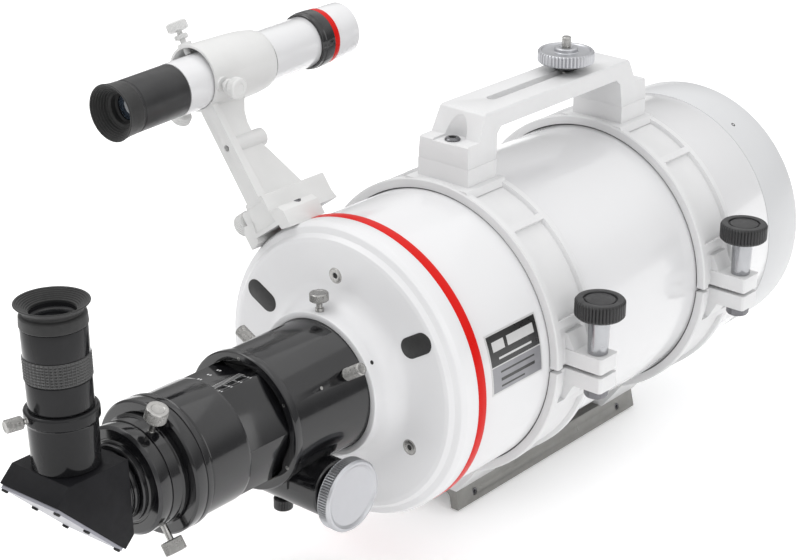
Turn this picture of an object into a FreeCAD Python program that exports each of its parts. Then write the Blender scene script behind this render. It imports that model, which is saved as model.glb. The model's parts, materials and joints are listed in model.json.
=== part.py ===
import FreeCAD, Part
import math
import os
from FreeCAD import Vector as V

# Maksutov telescope with clamp rings, carry handle, dovetail bar, rack focuser,
# mirror diagonal, eyepiece and finder.  All lengths in millimetres.
# Working frame: optical axis along +Y (towards the sky), Y = 0 at the rear edge
# of the coloured stripe.  Every shape is moved on export so that the origin sits
# at the middle of the dovetail bar's lower face, +Z up, +Y towards the sky.
os.makedirs("parts", exist_ok=True)

# ---------------------------------------------------------------- dimensions
R_TUBE = 90.0            # main tube outer radius
T_TUBE = 2.4             # main tube wall
Y_TUBE = 325.6           # front end of the main tube
Y_FRONT = 363.4          # front end of the front cell
R_STRIPE = 92.2
W_STRIPE = 7.3
R_CELL = 92.0            # rear cell outer radius
Y_BACK = -18.0           # flat back of the rear cell
R_COLLAR = 45.05         # focuser collar outer radius
Y_COLLAR = -36.5
R_BODY = 40.95           # focuser body where it sits in the collar
R_HEX = 36.3             # drawtube corners
A_HEX = 31.43            # drawtube half width across flats
HEX_TURN = 7.5           # direction of the drawtube's first corner (degrees)
Y_DRAW = -129.0          # rear end of the hexagonal drawtube
Y_FLANGE = -99.0         # rear face of the focuser's end ring
R_RACK = -30.9           # seat of the rack in the drawtube
AX_PIN = (-67.4, -42.0)  # pinion axis (y, z)
R_PIN = 4.0              # pinion tip radius
RING_Y = (70.4, 232.55)  # rear faces of the two clamp rings
RING_W = 39.5
R_RING = 96.6
R_RING_IN = 90.9
HINGE = (-100.6, 0.0)    # ring hinge axis (x, z)
X_BOLT = 111.2           # clamp bolt axis
BOLT_DY = 19.8           # clamp bolt axis from the ring's rear face
Z_PAD = 106.5            # top pads of the rings
FEET = ((78.05, 105.7), (240.4, 268.1))
Z_HANDLE = 136.8
Z_BRIDGE = 126.0
Y_STUD = 202.3           # camera screw
BAR_Y = (72.0, 272.0)
BAR_TOP = -109.6
BAR_BOT = -124.2
Y_BAR = 172.0
LEAN = -1.6              # diagonal turned a little in the reducer (degrees)
Y_EYE = -225.8           # eyepiece axis
PHI_F = 126.0            # finder direction around the tube
Z_F = 195.74             # finder bracket axis (distance from the optical axis)
Y_ORING = 37.3
TILT_F = math.degrees(0.040)
RUN = 0.06               # running clearance

ORIGIN = V(0, -Y_BAR, -BAR_BOT)
PARTS = {}


# ---------------------------------------------------------------- helpers
def poly(pts):
    pts = [V(*p) for p in pts]
    return Part.Face(Part.makePolygon(pts + [pts[0]]))


def rev_y(pts, a=360.0, x=0.0, z=0.0):
    s = poly([(r, y, 0) for r, y in pts]).revolve(V(0, 0, 0), V(0, 1, 0), a)
    s.translate(V(x, 0, z))
    return s


def rev_z(pts, x=0.0, y=0.0):
    s = poly([(r, 0, z) for r, z in pts]).revolve(V(0, 0, 0), V(0, 0, 1), 360)
    s.translate(V(x, y, 0))
    return s


def rev_x(pts, y=0.0, z=0.0):
    s = poly([(x, r, 0) for r, x in pts]).revolve(V(0, 0, 0), V(1, 0, 0), 360)
    s.translate(V(0, y, z))
    return s


def cyl(r, p, d, h):
    return Part.makeCylinder(r, h, V(*p), V(*d))


def cyl_y(r, y0, y1, x=0.0, z=0.0):
    return cyl(r, (x, y0, z), (0, 1, 0), y1 - y0)


def cyl_z(r, z0, z1, x=0.0, y=0.0):
    return cyl(r, (x, y, z0), (0, 0, 1), z1 - z0)


def cyl_x(r, x0, x1, y=0.0, z=0.0):
    return cyl(r, (x0, y, z), (1, 0, 0), x1 - x0)


def box(x0, x1, y0, y1, z0, z1):
    return Part.makeBox(x1 - x0, y1 - y0, z1 - z0, V(x0, y0, z0))


def prism_x(pts, x0, x1):
    return poly([(x0, y, z) for y, z in pts]).extrude(V(x1 - x0, 0, 0))


def prism_y(pts, y0, y1):
    return poly([(x, y0, z) for x, z in pts]).extrude(V(0, y1 - y0, 0))


def prism_z(pts, z0, z1):
    return poly([(x, y, z0) for x, y in pts]).extrude(V(0, 0, z1 - z0))


def slot_z(r, x0, x1, y, z0, z1):
    s = box(x0, x1, y - r, y + r, z0, z1)
    return s.fuse([cyl_z(r, z0, z1, x0, y), cyl_z(r, z0, z1, x1, y)]).removeSplitter()


def slot_y_dir(r, x, y0, y1, z0, z1):
    s = box(x - r, x + r, y0, y1, z0, z1)
    return s.fuse([cyl_z(r, z0, z1, x, y0), cyl_z(r, z0, z1, x, y1)]).removeSplitter()


def ngon(n, apothem, turn=0.0):
    r = apothem / math.cos(math.pi / n)
    return [(r * math.cos(turn + 2 * math.pi * i / n), r * math.sin(turn + 2 * math.pi * i / n))
            for i in range(n)]


def star(n, r_out, r_in):
    out = []
    for i in range(n):
        a = 2 * math.pi * i / n
        d = math.pi / n
        out += [(r_in * math.cos(a - 0.55 * d), r_in * math.sin(a - 0.55 * d)),
                (r_out * math.cos(a - 0.2 * d), r_out * math.sin(a - 0.2 * d)),
                (r_out * math.cos(a + 0.2 * d), r_out * math.sin(a + 0.2 * d)),
                (r_in * math.cos(a + 0.55 * d), r_in * math.sin(a + 0.55 * d))]
    return out


def radial(s, phi, y=0.0):
    """Shape drawn around +Z, turned to direction phi in the XZ plane."""
    s = s.copy()
    s.rotate(V(0, 0, 0), V(0, 1, 0), 90.0 - phi)
    s.translate(V(0, y, 0))
    return s


def finder(s):
    s = s.copy()
    s.rotate(V(0, 0, 0), V(0, 1, 0), 90.0 - PHI_F)
    return s


def tilted(s):
    s = s.copy()
    s.rotate(V(0, Y_ORING, Z_F), V(1, 0, 0), TILT_F)
    return finder(s)


def leaned(s):
    s = s.copy()
    s.rotate(V(0, 0, 0), V(0, 1, 0), LEAN)
    return s


def one(s):
    if s.ShapeType == "Compound" and len(s.Solids) == 1:
        return s.Solids[0]
    return s


def group(shapes):
    out = []
    for s in shapes:
        out += s.Solids
    return Part.makeCompound(out)


def save(name, s):
    PARTS[name] = one(s)


def screw_z(shank, z_tip, z_head, r_head, z_top, neck=None, c=0.5):
    """Thumbscrew drawn around +Z: shank, optional neck, chamfered head."""
    p = [(0, z_tip), (shank - 0.4, z_tip), (shank, z_tip + 0.4)]
    if neck:
        p += [(shank, neck[0]), (neck[1], neck[0]), (neck[1], z_head)]
    else:
        p += [(shank, z_head)]
    p += [(r_head - c, z_head), (r_head, z_head + c), (r_head, z_top - c), (r_head - c, z_top), (0, z_top)]
    return rev_z(p)


# ---------------------------------------------------------------- rear cell and its screws
SCREW_PHI = (32.5, 92.5, 152.5)      # radial screws of the collar and the focuser body
CELL_PHI = (91.5, 211.5, 331.5)      # countersunk screws of the cell
PAD_PHI = (31.5, 151.5, 271.5)       # obround covers
R_OB = 6.6               # half width of an obround cover
Y_CSCREW = -31.5
Y_BSCREW = -50.0         # slender screws of the focuser body

fillet = [(58.0 - 12.5 * math.sin(math.radians(a)), Y_BACK - 12.5 * (1 - math.cos(math.radians(a))))
          for a in (0, 15, 30, 45, 60, 75, 90)]
cell = rev_y([(R_CELL, 0), (R_CELL, -11.5), (90.6, -13.6), (88.6, -14.6), (85.2, -15.2), (83.8, -17.4),
              (82.6, Y_BACK)] + fillet +
             [(R_COLLAR, Y_COLLAR + 1.2), (R_COLLAR - 1.2, Y_COLLAR), (R_BODY + RUN + 0.5, Y_COLLAR),
              (R_BODY + RUN, Y_COLLAR + 0.5), (R_BODY + RUN, -8.0), (47.0, -8.0), (56.0, -11.5), (78.0, -11.5),
              (84.0, -7.0), (84.0, 20.0), (R_TUBE - T_TUBE, 20.0), (R_TUBE - T_TUBE, 0)])
for a in SCREW_PHI:
    cell = cell.cut(radial(cyl_z(2.5 + RUN if a == SCREW_PHI[1] else 1.25, 40.0, 62.0), a, Y_CSCREW))
cell_screws, pads = [], []
for a in CELL_PHI:
    x, z = 63.0 * math.cos(math.radians(a)), 63.0 * math.sin(math.radians(a))
    s = rev_y([(0, Y_BACK + 0.05), (4.6, Y_BACK + 0.05), (4.6, Y_BACK + 0.5), (2.2, Y_BACK + 2.9), (2.2, -8.0),
               (0, -8.0)], x=x, z=z)
    cell = cell.cut(s)
    hexh = prism_y([(x + p, z + q) for p, q in ngon(6, 1.6)], Y_BACK - 0.5, Y_BACK + 2.2)
    cell_screws.append(s.cut(hexh))
for a in PAD_PHI:
    ob = box(-R_OB, R_OB, -1.0, 1.0, 64.5, 75.7)
    ob = ob.fuse([cyl_y(R_OB, -1.0, 1.0, 0, 64.5), cyl_y(R_OB, -1.0, 1.0, 0, 75.7)]).removeSplitter()
    ob = radial(ob, a, Y_BACK + 0.95)
    cell = cell.cut(ob)
    pads.append(ob)
stop = rev_y([(0, Y_BACK - 3.5), (2.0, Y_BACK - 3.5), (2.0, -10.0), (0, -10.0)], x=51.5 * math.cos(math.radians(24)),
             z=51.5 * math.sin(math.radians(24)))
cell = cell.cut(stop)

# ---------------------------------------------------------------- tube, stripe, front cell
tube = rev_y([(R_TUBE - T_TUBE, 0), (R_TUBE, 0), (R_TUBE, Y_TUBE), (R_TUBE - T_TUBE, Y_TUBE)])
stripe = rev_y([(R_TUBE, 0), (R_STRIPE, 0), (R_STRIPE, W_STRIPE - 0.6), (R_STRIPE - 0.6, W_STRIPE),
                (R_TUBE, W_STRIPE)])
fcell = rev_y([(R_TUBE + 0.2, Y_TUBE), (R_TUBE + 0.2, Y_FRONT - 1.0), (R_TUBE - 0.8, Y_FRONT), (87.0, Y_FRONT),
               (86.2, Y_FRONT - 0.8), (86.2, 354.2), (85.0, 354.2), (85.0, 351.0), (79.0, 351.0), (79.0, 333.0), (76.0, 333.0), (76.0, 331.0),
               (84.0, 331.0), (84.0, 316.0), (R_TUBE - T_TUBE, 316.0), (R_TUBE - T_TUBE, Y_TUBE)])
fs = []
for a in (-6.0, 114.0, 234.0):
    s = radial(rev_z([(0, 85.2), (1.5, 85.2), (1.5, 88.4), (2.4, 89.0), (2.4, R_TUBE + 0.1), (0, R_TUBE + 0.1)]), a,
               346.0)
    s = s.cut(radial(prism_z(ngon(6, 0.9), 88.9, 91.0), a, 346.0))
    fs.append(s)
    fcell = fcell.cut(radial(rev_z([(0, 85.0), (1.5, 85.0), (1.5, 88.4), (2.4, 89.0), (2.4, 91.0), (0, 91.0)]), a,
                             346.0))
retainer = rev_y([(85.0, 351.0), (85.0, 354.2), (76.5, 354.2), (75.0, 352.8), (75.0, 351.0)])
for k in range(4):
    retainer = retainer.cut(radial(cyl_y(1.3, 352.2, 355.0, 0, 80.5), 45.0 + 90.0 * k))


# ---------------------------------------------------------------- optics
def cap_pts(r, rad, y0, sign, n=14):
    """Points of a spherical surface of curvature radius rad, from the axis out to r."""
    out = []
    for i in range(n + 1):
        q = r * i / n
        out.append((q, y0 + sign * (rad - math.sqrt(rad * rad - q * q))))
    return out


# deeply curved corrector shell, hollow side to the sky
sky = cap_pts(78.5, 232.0, 336.6, 1)
back = cap_pts(78.5, 241.0, 322.8, 1)
back = [p for p in back]
edge_y = sky[-1][1]
corr = rev_y([(q, y) for q, y in sky] + [(78.5, edge_y)] + [(q, y) for q, y in reversed(back)])
mirror_f = cap_pts(78.0, 760.0, 48.0, 1, 12)
mirror = rev_y([(21.5, 26.0), (78.0, 26.0)] + [(q, y) for q, y in reversed(mirror_f) if q > 21.5] +
               [(21.5, mirror_f[0][1] + 0.3)])
m_cell = rev_y([(17.2, 19.0), (21.4, 19.0), (21.4, 25.9), (84.0, 25.9), (84.0, 20.0), (84.0, 20.0), (60.0, 20.0),
                (50.0, 14.0), (17.2, 14.0)])
m_cell = m_cell.fuse(rev_y([(17.2, 14.0), (21.4, 14.0), (21.4, 50.4), (29.0, 50.4), (29.0, 53.4), (26.5, 56.0),
                            (21.4, 56.0), (21.4, 60.0), (17.2, 60.0)])).removeSplitter()
for k in range(6):
    m_cell = m_cell.cut(radial(cyl_y(7.0, 13.0, 30.0, 0, 68.0), 30.0 + 60.0 * k))
baffle = rev_y([(15.2, 9.5), (17.2, 9.5), (17.2, 60.0), (16.4, 150.0), (15.2, 158.0), (14.4, 158.0), (14.4, 60.0),
                (15.2, 58.0)])
sec_baffle = rev_y([(25.6, 319.9), (27.4, 318.4), (30.6, 297.0), (30.0, 297.0), (26.6, 317.6), (25.6, 318.2)])
sec_baffle = sec_baffle.cut(corr)

save("rear_cell", cell)
save("main_tube", tube)
save("stripe_ring", stripe)
save("front_cell", fcell)
save("corrector_retainer", retainer)
save("corrector_meniscus", corr)
save("primary_mirror", mirror)
save("mirror_cell", m_cell)
save("baffle_tube", baffle)
save("secondary_baffle", sec_baffle)


# ---------------------------------------------------------------- clamp rings
def half(pts, upper):
    s = poly([(r, y, 0) for r, y in pts]).revolve(V(0, 0, 0), V(0, -1 if upper else 1, 0), 180)
    return s


def rib(a, y0, y1):
    b = box(93.0, R_RING + 1.0, y0, y1, -2.3, 2.3)
    b.rotate(V(0, 0, 0), V(0, 1, 0), -a)
    return b.common(cyl_y(R_RING, y0, y1))


def clamp_ring(y0, upper):
    y1 = y0 + RING_W
    yb = y0 + BOLT_DY
    hx, hz = HINGE
    sg = 1 if upper else -1
    s = half([(R_RING_IN, y0), (94.0, y0), (94.0, y1), (R_RING_IN, y1)], upper)
    add = [half([(93.0, y0), (R_RING - 0.8, y0), (R_RING, y0 + 0.8), (R_RING, y0 + 5.0), (94.4, y0 + 6.0),
                 (93.0, y0 + 6.0)], upper),
           half([(93.0, y1 - 6.0), (94.4, y1 - 6.0), (R_RING, y1 - 5.0), (R_RING, y1 - 0.8), (R_RING - 0.8, y1),
                 (93.0, y1)], upper)]
    for a in (16.0, 55.0, 125.0, 164.0):
        add.append(rib(sg * a, y0 + 1.0, y1 - 1.0))
    if upper:
        f0, f1 = FEET[0] if y0 < 150 else FEET[1]
        pad = prism_y([(-19.6, Z_PAD), (19.6, Z_PAD), (19.6, 90.0), (-19.6, 90.0)], f0, f1)
        pad2 = prism_y([(-26.0, 91.0), (-23.5, 95.2), (23.5, 95.2), (26.0, 91.0)], y0 + 1.0, y1 - 1.0)
        add += [pad, pad2]
    else:
        foot = prism_y([(-40.0, -84.0), (-30.0, -98.0), (-21.0, BAR_TOP), (21.0, BAR_TOP), (30.0, -98.0),
                        (40.0, -84.0)], y0, y1)
        add.append(foot)
    if upper:
        ear = box(93.0, 120.0, yb - 8.8, yb + 8.8, 0.0, 9.9)
        ear = ear.makeFillet(2.0, [e for e in ear.Edges if abs(e.Vertexes[0].X - 120) < 1e-6
                                   and abs(e.Vertexes[1].X - 120) < 1e-6
                                   and abs(e.Vertexes[0].Y - e.Vertexes[1].Y) < 1e-6])
        web = prism_y([(93.0, 9.0), (100.2, 9.0), (94.5, 20.0), (91.0, 20.0)], yb - 8.0, yb + 8.0)
    else:
        ear = box(93.0, 120.0, yb - 8.8, yb + 8.8, -12.5, -2.6)
        ear = ear.makeFillet(2.0, [e for e in ear.Edges if abs(e.Vertexes[0].X - 120) < 1e-6
                                   and abs(e.Vertexes[1].X - 120) < 1e-6
                                   and abs(e.Vertexes[0].Y - e.Vertexes[1].Y) < 1e-6])
        web = prism_y([(93.0, -11.5), (101.0, -11.5), (94.0, -24.0), (91.0, -24.0)], yb - 8.0, yb + 8.0)
    add += [ear, web]
    if upper:
        kn = [(y0 + 13.3, y0 + 26.2)]
    else:
        kn = [(y0 + 2.0, y0 + 13.0), (y0 + 26.5, y0 + 37.5)]
    for a, b in kn:
        add.append(cyl_y(5.6, a, b, hx, hz))
        add.append(box(hx, -93.0, a, b, 0.6 if upper else -5.6, 5.6 if upper else -0.6))
    s = s.fuse(add)
    # parting faces
    if upper:
        s = s.cut(box(0, 130, y0 - 1, y1 + 1, -20, 0.0)).cut(box(-95.0, 0, y0 - 1, y1 + 1, -20, 0.6))
        s = s.cut(box(-97.0, -80.0, y0 - 1, y0 + 13.3, -20, 0.6)).cut(box(-97.0, -80.0, y0 + 26.2, y1 + 1, -20, 0.6))
        rel = [(y0 - 1, y0 + 13.15), (y0 + 26.35, y1 + 1)]
    else:
        s = s.cut(box(0, 130, y0 - 1, y1 + 1, -2.6, 20)).cut(box(-95.0, 0, y0 - 1, y1 + 1, -0.6, 20))
        s = s.cut(box(-97.0, -80.0, y0 + 13.0, y0 + 26.5, -0.6, 20)).cut(box(-97.0, -80.0, y0 - 1, y0 + 2.0, -0.6, 20))
        s = s.cut(box(-97.0, -80.0, y0 + 37.5, y1 + 1, -0.6, 20))
        rel = [(y0 + 13.15, y0 + 26.35)]
    for a, b in rel:
        s = s.cut(cyl_y(6.2, a, b, hx, hz))
    s = s.cut(cyl_y(R_RING_IN, y0 - 1, y1 + 1))
    # hinge bore and clamp bolt hole
    s = s.cut(cyl_y(2.0 + (RUN if upper else 0.0), y0, y1, hx, hz))
    if upper:
        s = s.cut(cyl_z(3.0 + RUN, -1, 12, X_BOLT, yb))
        for sy in ((f0 + 9.0,) if y0 < 150 else (f1 - 9.0,)):
            s = s.cut(cyl_z(2.5, 92.0, 110.0, 0, sy))
    else:
        s = s.cut(slot_z(3.25, X_BOLT, X_BOLT + 1.6, yb, -14, 0))
        s = s.cut(cyl_z(3.0, -112.0, -92.5, 0, y0 + RING_W / 2))
    return one(s.removeSplitter())


save("lower_rings", group([clamp_ring(y, False) for y in RING_Y]))
save("upper_rings", group([clamp_ring(y, True) for y in RING_Y]))


def felt(y0, upper):
    r0 = 90.3 if upper else R_TUBE
    s = half([(r0, y0 + 0.6), (R_RING_IN, y0 + 0.6), (R_RING_IN, y0 + RING_W - 0.6), (r0, y0 + RING_W - 0.6)], upper)
    cut = box(-130, 130, y0 - 1, y0 + 50, -3.0, 0.8) if upper else box(-130, 130, y0 - 1, y0 + 50, -2.8, 3.0)
    return s.cut(cut)


save("felt_lower", group([felt(y, False) for y in RING_Y]))
save("felt_upper", group([felt(y, True) for y in RING_Y]))
save("hinge_pins", group([cyl_y(2.0, y + 1.0, y + 38.5, HINGE[0], HINGE[1]) for y in RING_Y]))


def clamp_nut(yb):
    s = prism_z([(X_BOLT + p, yb + q) for p, q in ngon(6, 6.5, math.pi / 6)], -18.5, -12.5)
    s = s.common(rev_z([(0, -18.5), (6.4, -18.5), (7.4, -17.6), (7.4, -12.5), (0, -12.5)], X_BOLT, yb))
    return s.cut(slot_z(3.2, X_BOLT, X_BOLT + 1.1, yb, -20, -12))


save("clamp_nuts", group([clamp_nut(y + BOLT_DY) for y in RING_Y]))

for nm, y0 in (("rear", RING_Y[0]), ("front", RING_Y[1])):
    yb = y0 + BOLT_DY
    knob = prism_z([(X_BOLT + p, yb + q) for p, q in star(44, 15.3, 14.7)], 33.7, 45.2)
    env = rev_z([(0, 33.7), (14.6, 33.7), (15.4, 34.5), (15.4, 44.2), (14.4, 45.2), (0, 45.2)], X_BOLT, yb)
    knob = knob.common(env)
    knob = knob.cut(rev_z([(9.2, 46.0), (10.3, 46.0), (10.3, 43.6), (9.2, 43.6)], X_BOLT, yb))
    knob = knob.cut(cyl_z(9.3, 44.6, 46.0, X_BOLT, yb))
    knob = knob.cut(cyl_z(4.0, 33.0, 41.0, X_BOLT, yb))
    bolt = rev_z([(0, -20.0), (2.5, -20.0), (3.0, -19.5), (3.0, 9.9), (6.3, 9.9), (6.8, 33.7), (4.0, 33.7),
                  (4.0, 41.0), (0, 41.0)], X_BOLT, yb)
    save("clamp_knob_" + nm, one(knob.fuse(bolt).removeSplitter()))

# ---------------------------------------------------------------- carry handle
side = [(78.05, Z_PAD), (78.5, 119.8), (79.4, 120.6), (89.6, 120.6), (96.4, Z_HANDLE - 1.3), (97.8, Z_HANDLE),
        (248.4, Z_HANDLE), (249.8, Z_HANDLE - 1.3), (256.6, 120.6), (266.8, 120.6), (267.7, 119.8), (268.1, Z_PAD),
        (240.4, Z_PAD), (238.6, 122.5), (234.6, Z_BRIDGE), (111.5, Z_BRIDGE), (107.5, 122.5), (105.7, Z_PAD)]
handle = prism_x(side, -19.3, 19.3)
taper = prism_y([(-19.3, 100), (-19.3, 112), (-17.6, Z_HANDLE - 1.4), (-16.4, Z_HANDLE + 1), (16.4, Z_HANDLE + 1),
                 (17.6, Z_HANDLE - 1.4), (19.3, 112), (19.3, 100)], 60, 290)
handle = handle.common(taper)
handle = handle.cut(slot_y_dir(3.5, 0, 125.5, 214.5, 120, 140))
handle = handle.cut(slot_y_dir(7.6, 0, 125.5, 214.5, 120, Z_BRIDGE + 4.0))
hs = []
for ys, d in ((87.05, 1), (259.1, -1)):
    z0 = 119.4
    u = cyl_z(8.6, z0, 140, 0, ys).fuse(box(-8.6, 8.6, min(ys, ys - d * 12), max(ys, ys - d * 12), z0, 140))
    handle = handle.cut(u.removeSplitter())
    handle = handle.cut(cyl_z(2.7, 100, 125, 0, ys))
    s = rev_z([(0, 96.0), (2.5, 96.0), (2.5, z0), (4.6, z0), (5.2, z0 + 0.6), (5.2, z0 + 2.6), (4.6, z0 + 3.2),
               (0, z0 + 3.2)], 0, ys)
    s = s.cut(prism_z([(p, ys + q) for p, q in ngon(6, 2.0)], z0 + 1.0, z0 + 4))
    hs.append(s)
save("carry_handle", one(handle.removeSplitter()))
save("handle_screws", group(hs))

# ---------------------------------------------------------------- camera screw
stud = rev_z([(0, 126.6), (7.0, 126.6), (7.0, 129.6), (2.7, 129.6), (2.7, 152.7), (3.175, 152.7), (3.175, 158.4),
              (2.6, 159.2), (0, 159.2)], 0, Y_STUD)
stud = stud.cut(box(-0.8, 0.8, Y_STUD - 8, Y_STUD + 8, 126.0, 127.8))
save("camera_stud", stud)
disc = prism_z([(p, Y_STUD + q) for p, q in star(46, 18.3, 17.4)], 142.6, 150.4)
disc = disc.common(rev_z([(0, 142.6), (17.4, 142.6), (18.4, 143.5), (18.4, 149.5), (17.6, 150.4), (0, 150.4)], 0,
                         Y_STUD))
disc = disc.fuse(rev_z([(0, 137.1), (5.8, 137.1), (5.8, 138.6), (8.4, 138.6), (9.2, 139.4), (9.2, 142.8),
                        (0, 142.8)], 0, Y_STUD))
disc = disc.fuse(rev_z([(0, 149.0), (7.6, 149.0), (7.6, 151.9), (7.0, 152.4), (0, 152.4)], 0, Y_STUD))
disc = disc.cut(cyl_z(2.7 + RUN, 130, 155, 0, Y_STUD))
disc = disc.cut(rev_z([(7.6, 149.4), (15.6, 149.4), (16.2, 150.4), (16.2, 151.0), (7.6, 151.0)], 0, Y_STUD))
save("camera_lock_disc", one(disc.removeSplitter()))

# ---------------------------------------------------------------- dovetail bar
bar = prism_y([(-18.7, BAR_TOP), (18.7, BAR_TOP), (22.0, BAR_BOT + 0.8), (21.4, BAR_BOT), (15.6, BAR_BOT),
               (14.0, -115.8), (12.4, -114.0), (-12.4, -114.0), (-14.0, -115.8), (-15.6, BAR_BOT), (-21.4, BAR_BOT),
               (-22.0, BAR_BOT + 0.8)], BAR_Y[0], BAR_Y[1])
bolts, sides = [], []
for y0 in RING_Y:
    yc = y0 + RING_W / 2
    b = rev_z([(0, -119.6), (4.4, -119.6), (5.0, -119.0), (5.0, -114.0), (3.0, -114.0), (3.0, -95.0), (0, -95.0)], 0,
              yc)
    b = b.cut(prism_z([(p, yc + q) for p, q in ngon(6, 2.4)], -121.0, -116.6))
    bar = bar.cut(cyl_z(3.0, -125, -100, 0, yc))
    bolts.append(b)
    for sx in (-1, 1):
        x1 = sx * 20.4
        s = cyl_x(2.4, min(x1, sx * 14.6), max(x1, sx * 14.6), yc, -117.6)
        bar = bar.cut(cyl_x(2.4, min(sx * 14.0, sx * 24.0), max(sx * 14.0, sx * 24.0), yc, -117.6))
        s = s.cut(prism_x([(yc + p, -117.6 + q) for p, q in ngon(6, 1.25)], x1, x1 - sx * 2.4))
        sides.append(s)
for k in range(3):
    bar = bar.cut(cyl_z(3.3, -125, -100, 0, 137.0 + 35.0 * k))
save("dovetail_bar", bar)

# ---------------------------------------------------------------- focuser
yp, zp = AX_PIN
body = rev_y([(R_BODY, -9.0), (R_BODY, -37.0), (40.4, -37.8), (40.4, -92.6), (40.0, Y_FLANGE + 5.5), (30.0, Y_FLANGE + 5.5),
              (30.0, -9.0)])
saddle = prism_y([(-21.0, -30.0), (21.0, -30.0), (21.0, zp), (-21.0, zp)], -86.0, -49.0)
house = cyl_x(17.3, -41.5, 41.5, yp, zp)
house = house.makeChamfer(1.2, house.Edges)
body = body.fuse([saddle, house, cyl_x(9.0, -45.2, 45.2, yp, zp)])
body = body.fuse(cyl_y(R_BODY - 1.0, -93.0, -10.0))
hexb = prism_y(ngon(6, A_HEX + RUN, math.radians(HEX_TURN)), -100, 0)
body = body.cut(hexb)
body = body.cut(box(-6.1, 6.1, -100, 0, -37.6, -30.0))
body = body.cut(cyl_x(R_PIN + 0.35, -7.0, 7.0, yp, zp))
body = body.cut(box(-7.0, 7.0, yp - R_PIN - 0.35, yp + R_PIN + 0.35, zp, -35.0))
body = body.cut(cyl_x(2.5 + RUN, -50, 50, yp, zp))
body = body.cut(cyl_z(2.5 + RUN, -62.0, zp - R_PIN - 3.0, 0, yp))
for a in (SCREW_PHI[0], SCREW_PHI[2]):
    body = body.cut(radial(cyl_z(1.6 + RUN, 30.0, 45.0), a, Y_BSCREW))
# inside of the body behind the hexagonal guide
body = body.cut(cyl_y(38.2, -30.0, -8.0))
body = body.cut(radial(cyl_z(1.1, 38.0, 42.0), 31.5, -70.0))
fl_scr = []
yf = Y_FLANGE
flange = rev_y([(R_HEX + 0.3, yf + 5.5), (41.2, yf + 5.5), (42.0, yf + 4.7), (42.0, yf + 0.8), (41.2, yf),
                (R_HEX + 0.3, yf)])
flange = flange.cut(box(-6.1, 6.1, -110, -80, -38.4, -28.0))
for k in (0, 1, 2, 3, 5):
    a = math.radians(32.3 + 60 * k)
    x, z = 38.4 * math.cos(a), 38.4 * math.sin(a)
    s = rev_y([(0, yf + 0.3), (1.3, yf + 0.3), (1.3, yf + 2.2), (0.8, yf + 2.2), (0.8, yf + 9.0), (0, yf + 9.0)],
              x=x, z=z)
    flange = flange.cut(s)
    body = body.cut(s)
    fl_scr.append(s)
save("focuser_body", one(body.removeSplitter()))
save("focuser_flange", flange)
save("flange_screws", group(fl_scr))

# drawtube with a rack along its lower flat
dt = prism_y(ngon(6, A_HEX, math.radians(HEX_TURN)), Y_DRAW, -11.0)
dt = dt.cut(cyl_y(29.5, -140, 0))
for k in range(17):
    yy = -127.0 + 1.5 * k
    dt = dt.cut(radial(box(6.0, 11.0 if k % 5 else 14.0, -0.15, 0.15, A_HEX - 0.2, A_HEX + 1), HEX_TURN + 90.0, yy))
dt = dt.cut(box(-5.0, 5.0, -104.0, -11.0, -40.0, R_RACK))
save("drawtube", one(dt.removeSplitter()))
pitch = 2.513
rk = [(-103.9, R_RACK), (-11.1, R_RACK), (-11.1, -36.0)]
y = -11.9
while y - pitch > -103.0:
    rk += [(y, -36.0), (y - 0.45, -37.3), (y - 1.05, -37.3), (y - 1.5, -36.0)]
    y -= pitch
rk += [(-103.9, -36.0)]
save("rack", prism_x(rk, -5.0, 5.0))

adapter = rev_y([(29.5, Y_DRAW), (36.2, Y_DRAW), (36.9, Y_DRAW - 0.7), (37.0, Y_DRAW - 2.0), (37.0, -158.0),
                 (25.6, -158.0), (25.6, Y_DRAW - 4.0), (29.5, Y_DRAW - 2.0)])
bigring = rev_y([(25.6, -158.0), (38.2, -158.0), (39.0, -158.8), (39.0, -162.6), (38.4, -163.0), (38.4, -164.0),
                 (39.0, -164.4), (39.0, -171.2), (38.2, -172.2), (25.6, -172.2)])
reducer = rev_y([(15.95, -172.2), (32.4, -172.2), (32.4, -174.2), (31.0, -175.0), (31.0, -182.0), (30.5, -182.3),
                 (30.5, -182.9), (31.0, -183.2), (31.0, -190.3), (30.0, -191.5), (22.4, -191.5), (22.4, -194.3),
                 (21.8, -194.9), (15.95, -194.9)])
reducer = reducer.fuse(rev_y([(21.0, -172.3), (25.4, -172.3), (25.4, -140.0), (21.0, -140.0)])).removeSplitter()
HOLD = ((68.0, -178.0), (-54.0, -179.0))
for a, yy in HOLD:
    reducer = reducer.cut(radial(cyl_z(2.0 + RUN, 14.0, 34.0), a, yy))
save("focuser_adapter", one(adapter.fuse(bigring).removeSplitter()))
save("eyepiece_reducer", reducer)

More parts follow.
